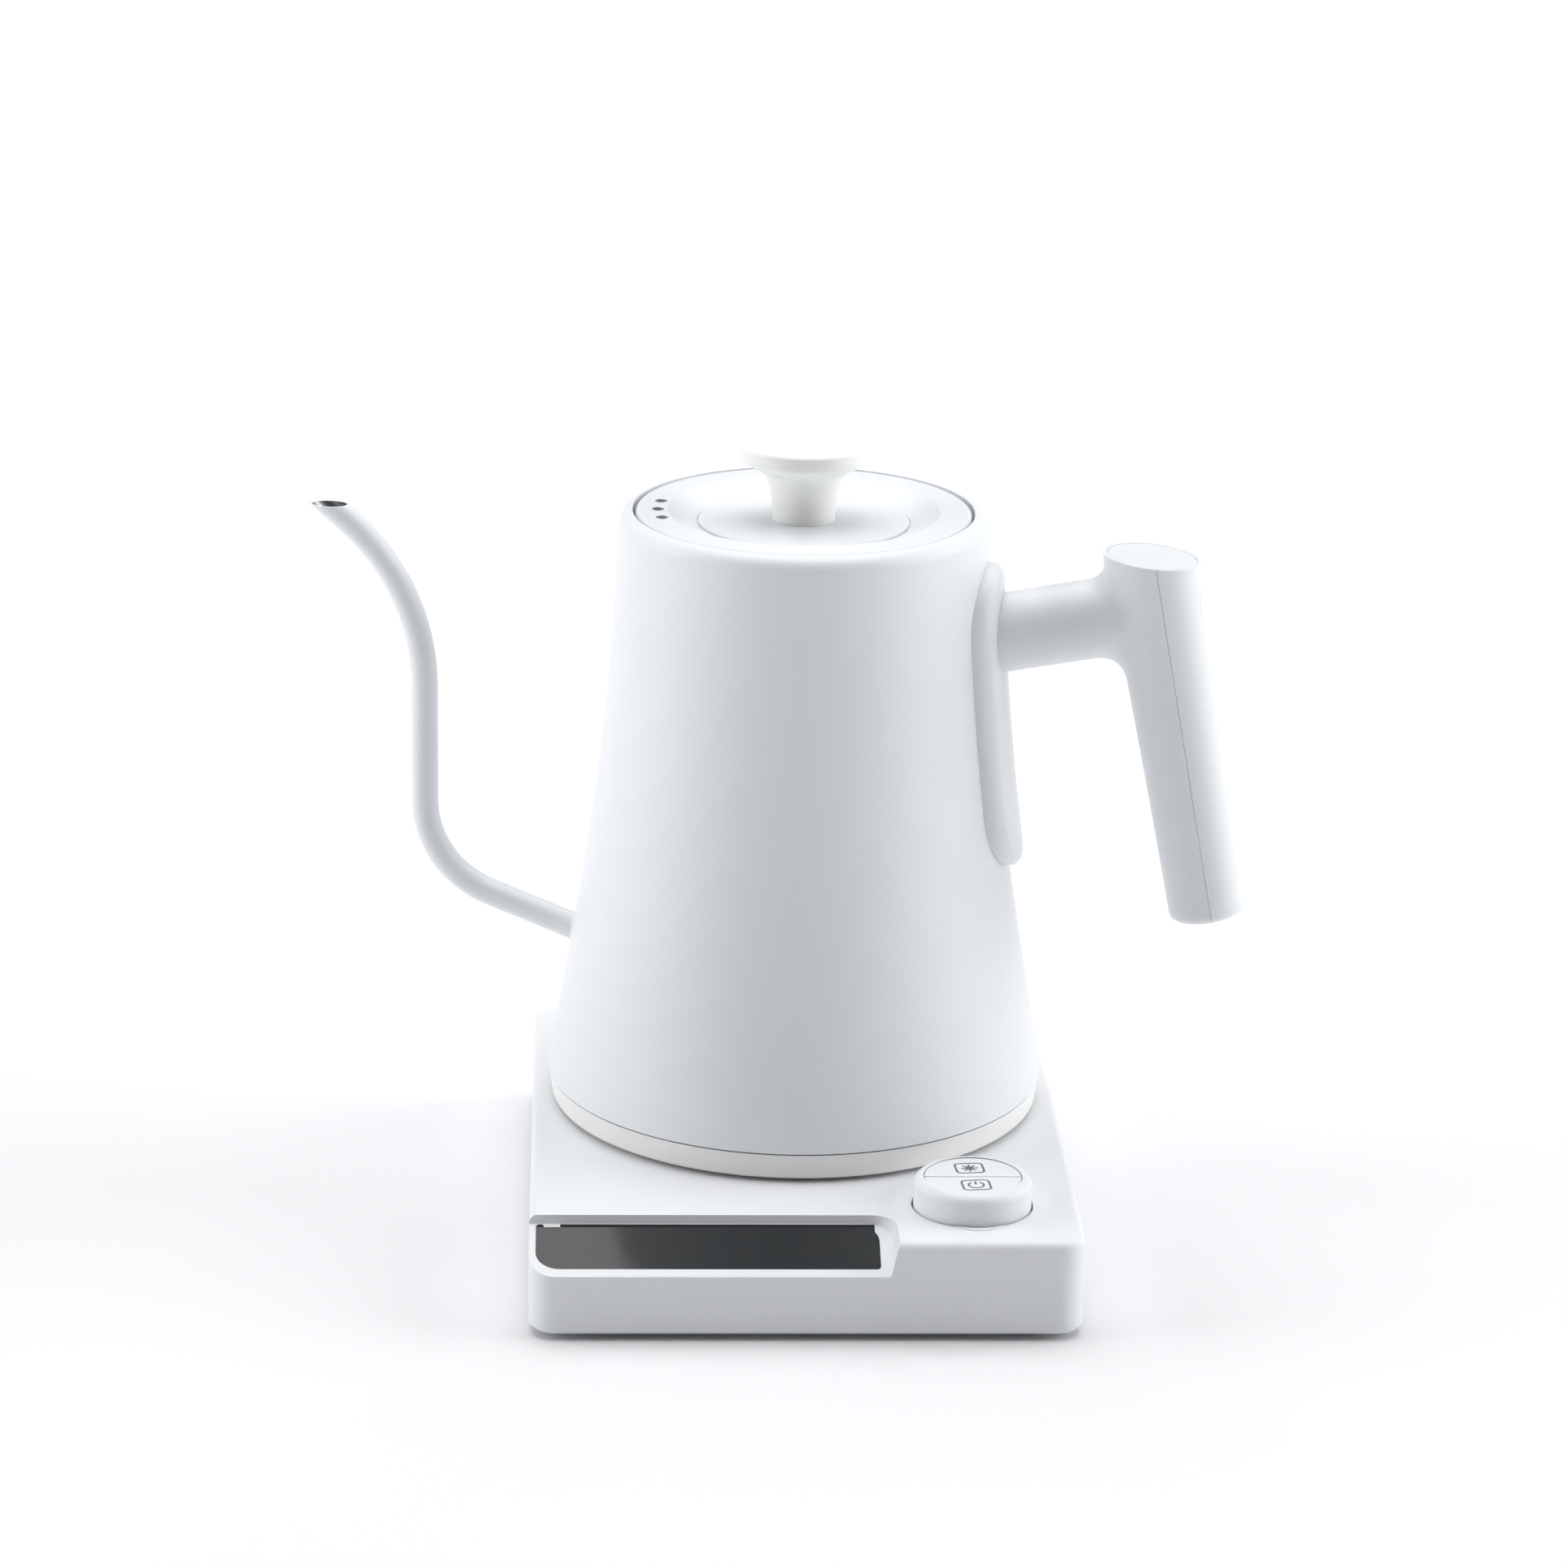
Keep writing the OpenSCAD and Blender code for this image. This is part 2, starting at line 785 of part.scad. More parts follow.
// Fixed post inside the dial: it carries the buttons' board
module dial_post() {
    shelf_t = 1.5;
    shelf_z = switch_top - switch_h - board_t - shelf_t;
    slot_w = 6;
    color("whitesmoke")
    at_dial() {
        difference() {
            translate([0, 0, floor_top + fit_gap])
                cylinder(r = post_out_r, h = switch_top - floor_top - 1);
            translate([0, 0, floor_top])
                cylinder(r = post_in_r, h = shelf_z - floor_top);
            translate([0, 0, shelf_z + shelf_t])
                cylinder(r = post_in_r, h = base_h);
            translate([-slot_w / 2, -post_out_r - cut, floor_top])
                cube([slot_w, 2 * post_out_r + 2 * cut, slot_w]);
        }
    }
}

module button_board() {
    color("darkgreen")
    at_dial()
        translate([0, 0, switch_top - switch_h - board_t + fit_gap])
            cylinder(r = post_in_r - 0.2, h = board_t - 2 * fit_gap);
}

module tact_switches() {
    color("black")
    at_dial()
        for (y = [-1, 1])
            translate([0, y * switch_y, switch_top - switch_h]) {
                linear_extrude(switch_h - 0.5)
                    square([switch_w, switch_w], center = true);
                cylinder(r = 1.7, h = switch_h);
            }
}

// Ring-shaped board that reads the dial
module encoder_board() {
    color("darkgreen")
    at_dial()
        translate([0, 0, dial_foot_z - 0.8 - board_t])
            tube(dial_flange_r, post_out_r + fit_gap, board_t);
}

module dial_ring() {
    color("white")
    at_dial()
        difference() {
            union() {
                translate([0, 0, dial_foot_z])
                    cylinder(r = dial_flange_r, h = dial_flange_t);
                translate([0, 0, dial_foot_z])
                    cylinder(r = dial_r, h = dial_top - dial_foot_z - dial_edge_r);
                rotate_extrude()
                    union() {
                        translate([0, ceiling_z])
                            square([dial_r - dial_edge_r, dial_top - ceiling_z]);
                        translate([dial_r - dial_edge_r, dial_top - dial_edge_r])
                            circle(dial_edge_r);
                    }
            }
            translate([0, 0, dial_foot_z - cut])
                cylinder(r = dial_bore_r, h = dial_top - dial_foot_z + 2 * cut);
        }
}

// Half-round push button: side -1 is the front one, 1 the rear one
module half_button(side) {
    top = dial_top - button_dip;
    at_dial()
        intersection() {
            union() {
                translate([0, 0, top - button_t])
                    cylinder(r = button_r, h = button_t);
                translate([0, 0, top - button_t - 1.6])
                    tube(post_in_r - slip_gap, post_in_r - slip_gap - 1, 1.7);
                translate([0, side * switch_y, switch_top + button_travel + 0.2])
                    cylinder(r = 2.2, h = top - switch_top - button_travel - 1);
            }
            translate([-2 * dial_r, side > 0 ? button_split / 2 : -2 * dial_r, 0])
                cube([4 * dial_r, 2 * dial_r - (side > 0 ? 0 : button_split / 2), 3 * base_top]);
        }
}

module power_button() {
    color("white")
        half_button(-1);
}

module light_button() {
    color("white")
        half_button(1);
}

// ---------- kettle: vessel and heating ----------

// Points up the outside of the wall, moved inward by a distance
function wall_points(inward) = concat(
    [[body_r - inward, shell_z]],
    [for (i = [0:wall_steps])
        let (a = cone_lean + (top_lean - cone_lean) * i / wall_steps)
        [cone_top_r - inward - hollow_r * (cos(a) - cos(cone_lean)),
            cone_top_z + hollow_r * (sin(cone_lean) - sin(a))]]);

// Points over the shoulder, from the wall to the rim's inner edge
function shoulder_points(r, inner_edge) =
    let (last = acos((inner_edge - shoulder_mid_r) / r))
    [for (i = [1:shoulder_steps])
        let (a = top_lean + (last - top_lean) * i / shoulder_steps)
        [shoulder_mid_r + r * cos(a), shoulder_mid_z + r * sin(a)]];

// Outer radius of the vessel's wall at a height
function wall_r(z) = z < cone_top_z
    ? body_r - (z - shell_z) * tan(cone_lean)
    : cone_top_r - hollow_r * (cos(asin(sin(cone_lean) - (z - cone_top_z) / hollow_r)) - cos(cone_lean));

function reverse(list) = [for (i = [len(list) - 1:-1:0]) list[i]];

// Solid of revolution that fills the body, grown outward
module body_solid(grow) {
    points = concat(wall_points(-grow), [[0, wall_top_z], [0, shell_z]]);
    rotate_extrude()
        polygon(points);
}

module body_shell() {
    seat_out_r = rim_r + sheet_t;
    outside = concat(wall_points(0), shoulder_points(shoulder_r, rim_r));
    seat = [[rim_r, seat_z], [seat_r, seat_z], [seat_r, seat_z - sheet_t], [seat_out_r, seat_z - sheet_t]];
    inside = reverse(concat(wall_points(sheet_t), shoulder_points(shoulder_r - sheet_t, seat_out_r)));
    color("white")
    on_kettle()
        difference() {
            rotate_extrude()
                polygon(concat(outside, seat, inside));
            spout_root()
                translate([0, 0, -20])
                    cylinder(r = spout_r + fit_gap, h = 40);
        }
}

// Floor of the vessel: a shallow steel pan, its edge turned down against the wall
module heat_plate() {
    edge = fit_gap + sheet_t;
    color("silver")
    on_kettle()
        difference() {
            rotate_extrude()
                polygon([[0, pan_z], [wall_r(pan_z) - edge - pan_t, pan_z],
                    [wall_r(pan_z - pan_lip) - edge - pan_t, pan_z - pan_lip],
                    [wall_r(pan_z - pan_lip) - edge, pan_z - pan_lip],
                    [wall_r(pan_z + pan_t) - edge, pan_z + pan_t], [0, pan_z + pan_t]]);
            translate([sensor_x, 0, pan_z - cut])
                cylinder(r = sensor_r + fit_gap, h = pan_t + 2 * cut);
        }
}

module heat_spreader() {
    color("lightgray")
    on_kettle()
        difference() {
            translate([0, 0, pan_z - spreader_t - fit_gap])
                cylinder(r = spreader_r, h = spreader_t);
            translate([sensor_x, 0, pan_z - spreader_t - cut])
                cylinder(r = sensor_body_r + slip_gap, h = spreader_t + 2 * cut);
        }
}

module heating_element() {
    color("dimgray")
    on_kettle()
        translate([0, 0, element_z]) {
            rotate([0, 0, 180 + element_gap_a])
                rotate_extrude(angle = 360 - 2 * element_gap_a)
                    translate([element_ring_r, 0])
                        circle(element_r);
            for (side = [-1, 1])
                rotate([0, 0, 180 + side * element_gap_a])
                    translate([element_ring_r, 0, -lead_l])
                        cylinder(r = lead_r, h = lead_l);
        }
}

module temperature_sensor() {
    color("silver")
    on_kettle()
        translate([sensor_x, 0, 0]) {
            translate([0, 0, pan_z - 10])
                cylinder(r = sensor_body_r, h = 10 - fit_gap);
            translate([0, 0, pan_z - 1])
                cylinder(r = sensor_r, h = 7);
        }
}

module thermal_cutouts() {
    color("tan")
    on_kettle()
        for (y = [-1, 1])
            translate([0, y * cutout_y, socket_top + 1.2])
                cylinder(r = cutout_r, h = cutout_t);
}

// Kettle half of the 360-degree connector
module upper_connector() {
    cup_r_in = boss_r + 0.6;
    color("dimgray") {
        difference() {
            translate([0, 0, socket_low])
                cylinder(r = socket_r, h = socket_top - socket_low);
            translate([0, 0, plinth_top])
                cylinder(r = cup_r_in, h = boss_top - plinth_top + 0.6);
        }
        translate([0, 0, plinth_top + 2])
            cylinder(r = pin_r, h = 9);
        translate([0, 0, plinth_top + 3])
            tube(ring_slot_r + 0.2, ring_slot_r - 0.5, 7);
    }
}

module bottom_skirt() {
    hole_r = socket_r + slip_gap;
    well_r = plinth_r + 1.2;
    well_z = plinth_top + slip_gap;
    top_r = body_r - 0.3;
    foot_mid_r = top_r - 0.8 - skirt_round;
    color([0.95, 0.94, 0.91])
    on_kettle()
        difference() {
            rotate_extrude()
                polygon(concat(
                    [[hole_r, well_z], [well_r, well_z], [well_r, skirt_z]],
                    [for (i = [0:5])
                        let (a = 90 * i / 5 - 90)
                        [foot_mid_r + skirt_round * cos(a), skirt_z + skirt_round * (1 + sin(a))]],
                    [[top_r, skirt_z + skirt_h], [top_r - skirt_t, skirt_z + skirt_h],
                        [foot_mid_r, skirt_z + skirt_t], [well_r + skirt_t, skirt_z + skirt_t],
                        [well_r + skirt_t, well_z + skirt_t], [hole_r + skirt_t, well_z + skirt_t],
                        [hole_r + skirt_t, well_z + 6], [hole_r, well_z + 6]]));
            ring_of(3, skirt_screw_ring_r, 30)
                translate([0, 0, skirt_z - cut]) {
                    cylinder(r = skirt_screw_r + fit_gap, h = skirt_t + 2 * cut);
                    cylinder(r = skirt_screw_head_r + fit_gap, h = 1.2 + cut);
                }
        }
}

module skirt_screws() {
    color("silver")
    on_kettle()
        ring_of(3, skirt_screw_ring_r, 30)
            translate([0, 0, skirt_z + 0.3]) {
                cylinder(r = skirt_screw_head_r, h = 0.9 - fit_gap);
                cylinder(r = skirt_screw_r, h = 12);
            }
}

// ---------- kettle: spout ----------

// Children at the root of the spout: local z runs outward along its lower stretch
module spout_root() {
    translate([-bend_low_start[0], 0, bend_low_start[1]])
        rotate([0, spout_rise - 90, 0])
            translate([0, 0, -spout_root_l])
                children();
}

// Stations along the spout's middle line, each [x, z, lean]: lean is from upright, towards the tip
function spout_path() =
    let (root_l = spout_root_l + 12,
        low_a = 90 - spout_rise,
        top_x = -spout_reach - bend_top_r,
        end_x = top_x + bend_top_r * cos(bend_top_a),
        end_z = bend_top_start_z + bend_top_r * sin(bend_top_a))
    concat(
        [[root_l * cos(spout_rise) - bend_low_start[0], bend_low_start[1] - root_l * sin(spout_rise), low_a]],
        [for (i = [0:bend_steps])
            let (a = low_a * (1 - i / bend_steps))
            [bend_low_r * (1 - cos(a)) - spout_reach, bend_low_end_z - bend_low_r * sin(a), a]],
        [for (i = [0:bend_steps])
            let (a = bend_top_a * i / bend_steps)
            [top_x + bend_top_r * cos(a), bend_top_start_z + bend_top_r * sin(a), a]],
        [[end_x - spout_tip_l * sin(bend_top_a), end_z + spout_tip_l * cos(bend_top_a), bend_top_a]]);

// Ring of points around each station, at a radius from the middle line
function path_rings(path, r) = [
    for (p = path, k = [0:tube_sides - 1])
        let (a = 360 * k / tube_sides)
        [p[0] + r * cos(a) * cos(p[2]), r * sin(a), p[1] + r * cos(a) * sin(p[2])]];

// Hollow tube along the spout's middle line
module spout_pipe(r, bore) {
    path = spout_path();
    n = tube_sides;
    last = len(path) - 1;
    inner = n * len(path);
    wall = [for (i = [0:last - 1], k = [0:n - 1])
        let (a = i * n + k, b = i * n + (k + 1) % n)
        [a, b, b + n, a + n]];
    bore_wall = [for (f = wall) [f[3] + inner, f[2] + inner, f[1] + inner, f[0] + inner]];
    low_end = [for (k = [0:n - 1])
        let (next = (k + 1) % n)
        [next, k, k + inner, next + inner]];
    high_end = [for (k = [0:n - 1])
        let (a = last * n + k, b = last * n + (k + 1) % n)
        [a, b, b + inner, a + inner]];
    polyhedron(concat(path_rings(path, r), path_rings(path, bore)),
        concat(wall, bore_wall, low_end, high_end));
}

module spout_tube() {
    color("white")
    on_kettle()
        difference() {
            spout_pipe(spout_r, spout_bore_r);
            translate([-2 * spout_reach, -20, spout_tip_z])
                cube([2 * spout_reach, 40, 40]);
            body_solid(-sheet_t);
        }
}

// ---------- kettle: handle ----------

// Radius of the grip at a distance below its top
function grip_r(t) = grip_end_r + (grip_top_r - grip_end_r) * pow(1 - t / grip_l, grip_power);

// Points down the side of the grip, from above its cap to its end, shrunk by a wall
function grip_points(shrink) =
    let (last = grip_l - shrink)
    concat(
        [for (i = [0:grip_steps])
            let (t = (last - grip_round + cap_rise) * i / grip_steps - cap_rise)
            [grip_r(t) - shrink, -t]],
        [for (i = [1:5])
            let (a = 90 * i / 5)
            [grip_r(last) - shrink - grip_round * (1 - cos(a)), -last + grip_round * (1 - sin(a))]]);

// Grip as a solid of revolution, shrunk by a wall
module grip_solid(shrink) {
    rotate_extrude()
        polygon(concat([[0, cap_rise]], grip_points(shrink), [[0, shrink - grip_l]]));
}

// Wall of the grip as a solid of revolution, open at the top
module grip_wall_solid() {
    rotate_extrude()
        polygon(concat(
            grip_points(0), [[0, -grip_l], [0, grip_wall - grip_l]], reverse(grip_points(grip_wall))));
}

// What is cut off the grip's top: the space above the cap's face, and the cap's seat
module cap_space() {
    at_cap() {
        translate([-2 * grip_top_r, -2 * grip_top_r, 0])
            cube([4 * grip_top_r, 4 * grip_top_r, 3 * cap_rise]);
        translate([0, 0, -cap_t])
            cylinder(r = cap_r + fit_gap, h = cap_t + cut);
    }
}

// Arm with a flare where it runs into the grip, shrunk by a wall
module arm_solid(shrink) {
    half_w = grip_r(grip_cross) - flare_side - shrink;
    along_arm()
        translate([0, 0, arm_start])
            cylinder(r = arm_r - shrink, h = arm_end - arm_start);
    intersection() {
        along_arm()
            rotate_extrude()
                polygon(concat(
                    [[0, arm_end - 28], [arm_r - shrink, arm_end - 28]],
                    [for (i = [0:8])
                        let (a = 90 * i / 8)
                        [arm_r - shrink + flare_r * (1 - cos(a)),
                            arm_end - flare_out - flare_r * (1 - sin(a))]],
                    [[arm_r - shrink + flare_r, arm_end - 4], [0, arm_end - 4]]));
        along_grip()
            translate([-2 * grip_l, -half_w, -grip_l])
                cube([3 * grip_l, 2 * half_w, grip_l - shrink]);
    }
}

module handle_plate() {
    color("white")
    on_kettle()
        difference() {
            intersection() {
                body_solid(plate_t);
                translate([0, 0, plate_mid_z])
                    rotate([90, 0, 90])
                        linear_extrude(2 * body_r)
                            round_rect(plate_w, plate_h, plate_end_r - 0.01);
            }
            body_solid(fit_gap);
            along_arm()
                cylinder(r = stud_r + fit_gap, h = arm_end);
            translate([0, 0, low_stud_z])
                rotate([0, 90, 0])
                    cylinder(r = low_stud_r + fit_gap, h = wall_r(low_stud_z) + low_stud_in + 0.4);
        }
}

module handle_studs() {
    color("silver")
    on_kettle()
        difference() {
            union() {
                along_arm()
                    translate([0, 0, stud_root_l])
                        cylinder(r = stud_r, h = stud_end_l - stud_root_l);
                translate([0, 0, low_stud_z])
                    rotate([0, 90, 0])
                        cylinder(r = low_stud_r, h = wall_r(low_stud_z) + low_stud_in);
            }
            body_solid(fit_gap);
            along_arm()
                translate([0, 0, bolt_start_l - 0.2])
                    cylinder(r = bolt_r + fit_gap, h = 20);
        }
}

// Space inside the handle: the hollow of the arm and of the grip, with the cap's seat and above it
module handle_hollow() {
    along_grip()
        grip_solid(grip_wall);
    along_arm()
        translate([0, 0, arm_start])
            cylinder(r = arm_r - grip_wall, h = arm_end - arm_start);
    cap_space();
}

module handle_inner_shell() {
    color("white")
    on_kettle()
        difference() {
            union() {
                along_grip()
                    intersection() {
                        grip_solid(0);
                        translate([parting_x - half_box - fit_gap, -half_box, -grip_l - 10])
                            cube([half_box, 2 * half_box, grip_l + 20]);
                    }
                difference() {
                    arm_solid(0);
                    along_grip()
                        translate([parting_x - fit_gap, -half_box, -grip_l - 10])
                            cube([half_box, 2 * half_box, grip_l + 20]);
                }
            }
            handle_hollow();
            body_solid(plate_t + fit_gap);
        }
}

module handle_outer_shell() {
    color("white")
    on_kettle()
        difference() {
            along_grip()
                intersection() {
                    grip_wall_solid();
                    translate([parting_x + fit_gap, -half_box, -grip_l - 10])
                        cube([half_box, 2 * half_box, grip_l + 20]);
                }
            cap_space();
            along_arm()
                translate([0, 0, arm_end])
                    cylinder(r = plug_r + fit_gap, h = 40);
        }
}

// Steel sleeve inside the arm
module handle_sleeve() {
    color("silver")
    on_kettle()
        difference() {
            along_arm()
                translate([0, 0, stud_end_l + fit_gap])
                    cylinder(r = sleeve_r, h = arm_end - stud_end_l + sleeve_out);
            along_arm()
                cylinder(r = bolt_r + fit_gap, h = arm_end + 20);
            body_solid(plate_t + 0.2);
        }
}

module handle_bolt() {
    color("dimgray")
    on_kettle()
        along_arm() {
            translate([0, 0, bolt_start_l])
                cylinder(r = bolt_r, h = arm_end - bolt_start_l + sleeve_out + 1);
            translate([0, 0, arm_end + sleeve_out + 2 * fit_gap])
                cylinder(r = bolt_head_r, h = bolt_head_h);
        }
}

module handle_top_cap() {
    color("white")
    on_kettle()
        at_cap()
            translate([0, 0, -cap_t + fit_gap])
                rotate_extrude()
                    polygon([[0, 0], [cap_r, 0], [cap_r, cap_t - fit_gap - cap_edge],
                        [cap_r - cap_edge, cap_t - fit_gap], [0, cap_t - fit_gap]]);
}

module handle_plug() {
    color("white")
    on_kettle()
        intersection() {
            along_arm()
                translate([0, 0, arm_end + plug_in])
                    cylinder(r = plug_r, h = 40);
            along_grip()
                grip_solid(0);
        }
}

// ---------- lid ----------

// Children at the three steam vents
module at_vents() {
    for (i = [-1:1])
        rotate([0, 0, vent_turn + i * vent_step])
            translate([vent_ring_r, 0, 0])
                children();
}

module lid_cover() {
    edge = lid_edge_r;
    color("white")
    difference() {
        rotate_extrude()
            polygon(concat(
                [[knob_screw_r + fit_gap, lid_pan_z], [disc_r + 0.6, lid_pan_z],
                    [disc_r + 0.6, disc_top - 0.8], [lid_margin_r, lid_top]],
                [for (i = [0:4])
                    let (a = 90 - 90 * i / 4)
                    [lid_r - edge + edge * cos(a), lid_top - edge + edge * sin(a)]],
                [[lid_r, lid_foot_z + 0.9], [lid_r - lid_t, lid_foot_z + 0.9], [lid_r - lid_t, lid_top - lid_t],
                    [lid_margin_r + 0.3, lid_top - lid_t], [disc_r + 1.2, lid_pan_z - lid_t],
                    [knob_screw_r + fit_gap, lid_pan_z - lid_t]]));
        at_vents()
            translate([0, 0, lid_foot_z])
                cylinder(r = vent_r, h = 20);
    }
}

module lid_disc() {
    color("white")
    rotate_extrude()
        polygon([[knob_screw_r + fit_gap, lid_pan_z + fit_gap], [disc_r, lid_pan_z + fit_gap],
            [disc_r, disc_top - 0.4], [disc_r - 0.4, disc_top], [knob_screw_r + fit_gap, disc_top]]);
}

module lid_cup() {
    flange_z = lid_foot_z + 0.05;
    floor_z = flange_z - cup_h;
    color("silver")
    difference() {
        rotate_extrude()
            polygon([[0, floor_z], [cup_r - cup_edge, floor_z], [cup_r, floor_z + cup_edge], [cup_r, flange_z],
                [lid_r - lid_t - 0.2, flange_z], [lid_r - lid_t - 0.2, flange_z + cup_t],
                [cup_r - cup_t, flange_z + cup_t], [cup_r - cup_t, floor_z + cup_edge + 0.3],
                [cup_r - cup_edge - 0.3, floor_z + cup_t], [0, floor_z + cup_t]]);
        at_vents()
            translate([-4, 0, floor_z - cut])
                cylinder(r = vent_r, h = 3);
    }
}

module lid_seal() {
    low = lid_foot_z - 5;
    lip_r = seat_r - slip_gap;
    color("lightgray")
    rotate_extrude()
        polygon([[cup_r + fit_gap, low], [lip_r, low + 0.8], [lip_r - 0.6, low + 1.6], [lip_r, low + 2.4],
            [lip_r - 0.6, low + 3.2], [lip_r - 0.6, low + 4.6], [cup_r + fit_gap, low + 4.6]]);
}

module lid_knob() {
    low = disc_top + fit_gap;
    neck_r_top = knob_r * knob_neck_share;
    cone_z = knob_top - knob_rim_h - 3.7;
    flare_h = cone_z - low;
    color("white")
    difference() {
        rotate_extrude()
            polygon(concat(
                [[0, low], [stem_r, low]],
                [for (i = [1:10])
                    let (a = i / 10)
                    [stem_r + (neck_r_top - stem_r) * pow(a, knob_flare), low + flare_h * a]],
                [[knob_r - 1, knob_top - knob_rim_h - 0.3], [knob_r - 0.2, knob_top - knob_rim_h + 0.5],
                    [knob_r, knob_top - knob_rim_h + 1.2]],
                [for (i = [0:5])
                    let (a = 90 * i / 5)
                    [knob_r - knob_edge_r * (1 - cos(a)), knob_top - knob_edge_r * (1 - sin(a))]],
                [[knob_r - 4, knob_top - 0.25], [0, knob_top - 0.6]]));
        translate([0, 0, low - cut])
            cylinder(r = knob_screw_r + fit_gap, h = 13 + cut);
    }
}

module lid_knob_screw() {
    head_z = lid_pan_z - lid_t - knob_screw_head_h;
    color("silver") {
        translate([0, 0, head_z])
            cylinder(r = knob_screw_head_r, h = knob_screw_head_h - fit_gap);
        translate([0, 0, head_z + 1])
            cylinder(r = knob_screw_r, h = disc_top - head_z + knob_screw_grip);
    }
}

// ---------- nodes ----------

base_upper_cover();
base_bottom_cover();
rubber_feet();
base_screws();
cord_gland();
display_window();
display_board();
lower_connector();
connector_contacts();
connector_screws();
power_board();
relay();
transformer();
filter_capacitors();
buzzer();
dial_post();
button_board();
tact_switches();
encoder_board();
dial_ring();
power_button();
light_button();
upper_connector();
bottom_skirt();
skirt_screws();
body_shell();
heat_plate();
heat_spreader();
heating_element();
temperature_sensor();
thermal_cutouts();
spout_tube();
handle_plate();
handle_studs();
handle_inner_shell();
handle_outer_shell();
handle_sleeve();
handle_bolt();
handle_top_cap();
handle_plug();
lid_cover();
lid_disc();
lid_cup();
lid_seal();
lid_knob();
lid_knob_screw();
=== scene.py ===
"""Looks of an electric gooseneck kettle on its heating base, built around its fixed frame.

Everything is in metres, in the frame's own axes: +Z up, the worktop at z = 0, the kettle's axis at
x = y = 0, the base's front facing -Y. Sizes below are in millimetres where a name ends in _mm or a
comment says so, and MM turns them to metres.
"""
import logging
import math
from collections.abc import Sequence
from dataclasses import dataclass, field
from enum import Enum

import bmesh
import bpy
import numpy as np
from mathutils import Matrix, Quaternion, Vector


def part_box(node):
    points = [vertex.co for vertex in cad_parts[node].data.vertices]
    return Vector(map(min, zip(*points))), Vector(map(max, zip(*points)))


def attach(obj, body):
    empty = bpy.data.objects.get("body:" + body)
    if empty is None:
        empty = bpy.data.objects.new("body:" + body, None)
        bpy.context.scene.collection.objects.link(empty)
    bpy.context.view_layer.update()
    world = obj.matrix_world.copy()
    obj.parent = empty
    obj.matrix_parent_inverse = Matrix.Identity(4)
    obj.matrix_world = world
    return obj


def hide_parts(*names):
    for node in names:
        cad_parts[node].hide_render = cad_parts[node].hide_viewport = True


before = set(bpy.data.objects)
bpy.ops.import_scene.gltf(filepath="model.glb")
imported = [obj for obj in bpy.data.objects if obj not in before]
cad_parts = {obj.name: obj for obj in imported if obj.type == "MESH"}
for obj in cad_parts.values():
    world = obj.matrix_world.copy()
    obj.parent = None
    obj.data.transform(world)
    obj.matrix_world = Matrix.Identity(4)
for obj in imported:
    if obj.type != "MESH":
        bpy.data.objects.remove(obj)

LOG = logging.getLogger("kettle")
MM = 0.001
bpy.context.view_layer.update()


# ---------------------------------------------------------------- colour and nodes

def linear(colour: str) -> tuple[float, float, float, float]:
    """Turn an sRGB hex colour into linear RGBA.

    Args:
        colour: six hex digits, such as "F2F3F3".

    Returns:
        The four channels that Blender's sockets take.
    """
    channels = [int(colour[i:i + 2], 16) / 255 for i in (0, 2, 4)]
    straight = [c / 12.92 if c <= 0.04045 else ((c + 0.055) / 1.055) ** 2.4 for c in channels]
    return straight[0], straight[1], straight[2], 1.0


def add_node(tree: bpy.types.NodeTree, kind: str, settings: dict | None = None,
             links: dict | None = None) -> bpy.types.Node:
    """Add a shader node with its settings and the links into it.

    Args:
        tree: node tree to add to.
        kind: the node's type name without "ShaderNode".
        settings: values by name, for an attribute of the node or for one of its inputs.
        links: output sockets by the name or the index of the input that each feeds.

    Returns:
        The new node.
    """
    node = tree.nodes.new("ShaderNode" + kind)
    for name, value in (settings or {}).items():
        if isinstance(name, str) and hasattr(node, name):
            setattr(node, name, value)
        else:
            node.inputs[name].default_value = value
    for name, socket in (links or {}).items():
        tree.links.new(socket, node.inputs[name])
    return node


def per_mm(size_mm: float) -> float:
    """Texture scale that gives features of a size in millimetres."""
    return 1 / (size_mm * MM)


# ---------------------------------------------------------------- finishes

class Grain(Enum):
    """How a surface's fine relief was made."""

    ORANGE_PEEL = "orange peel of a baked powder"
    SPARK = "spark-eroded texture of a mould"
    SPUN = "rings left by spinning"
    DRAWN = "long marks left by drawing a tube"
    FLAT = "flow marks of a polished mould"


# How spun rings and drawn marks stretch the noise they are made from, along x, y and z.
STRETCH = {Grain.SPUN: (0.05, 0.05, 1.0), Grain.DRAWN: (1.0, 1.0, 0.02)}


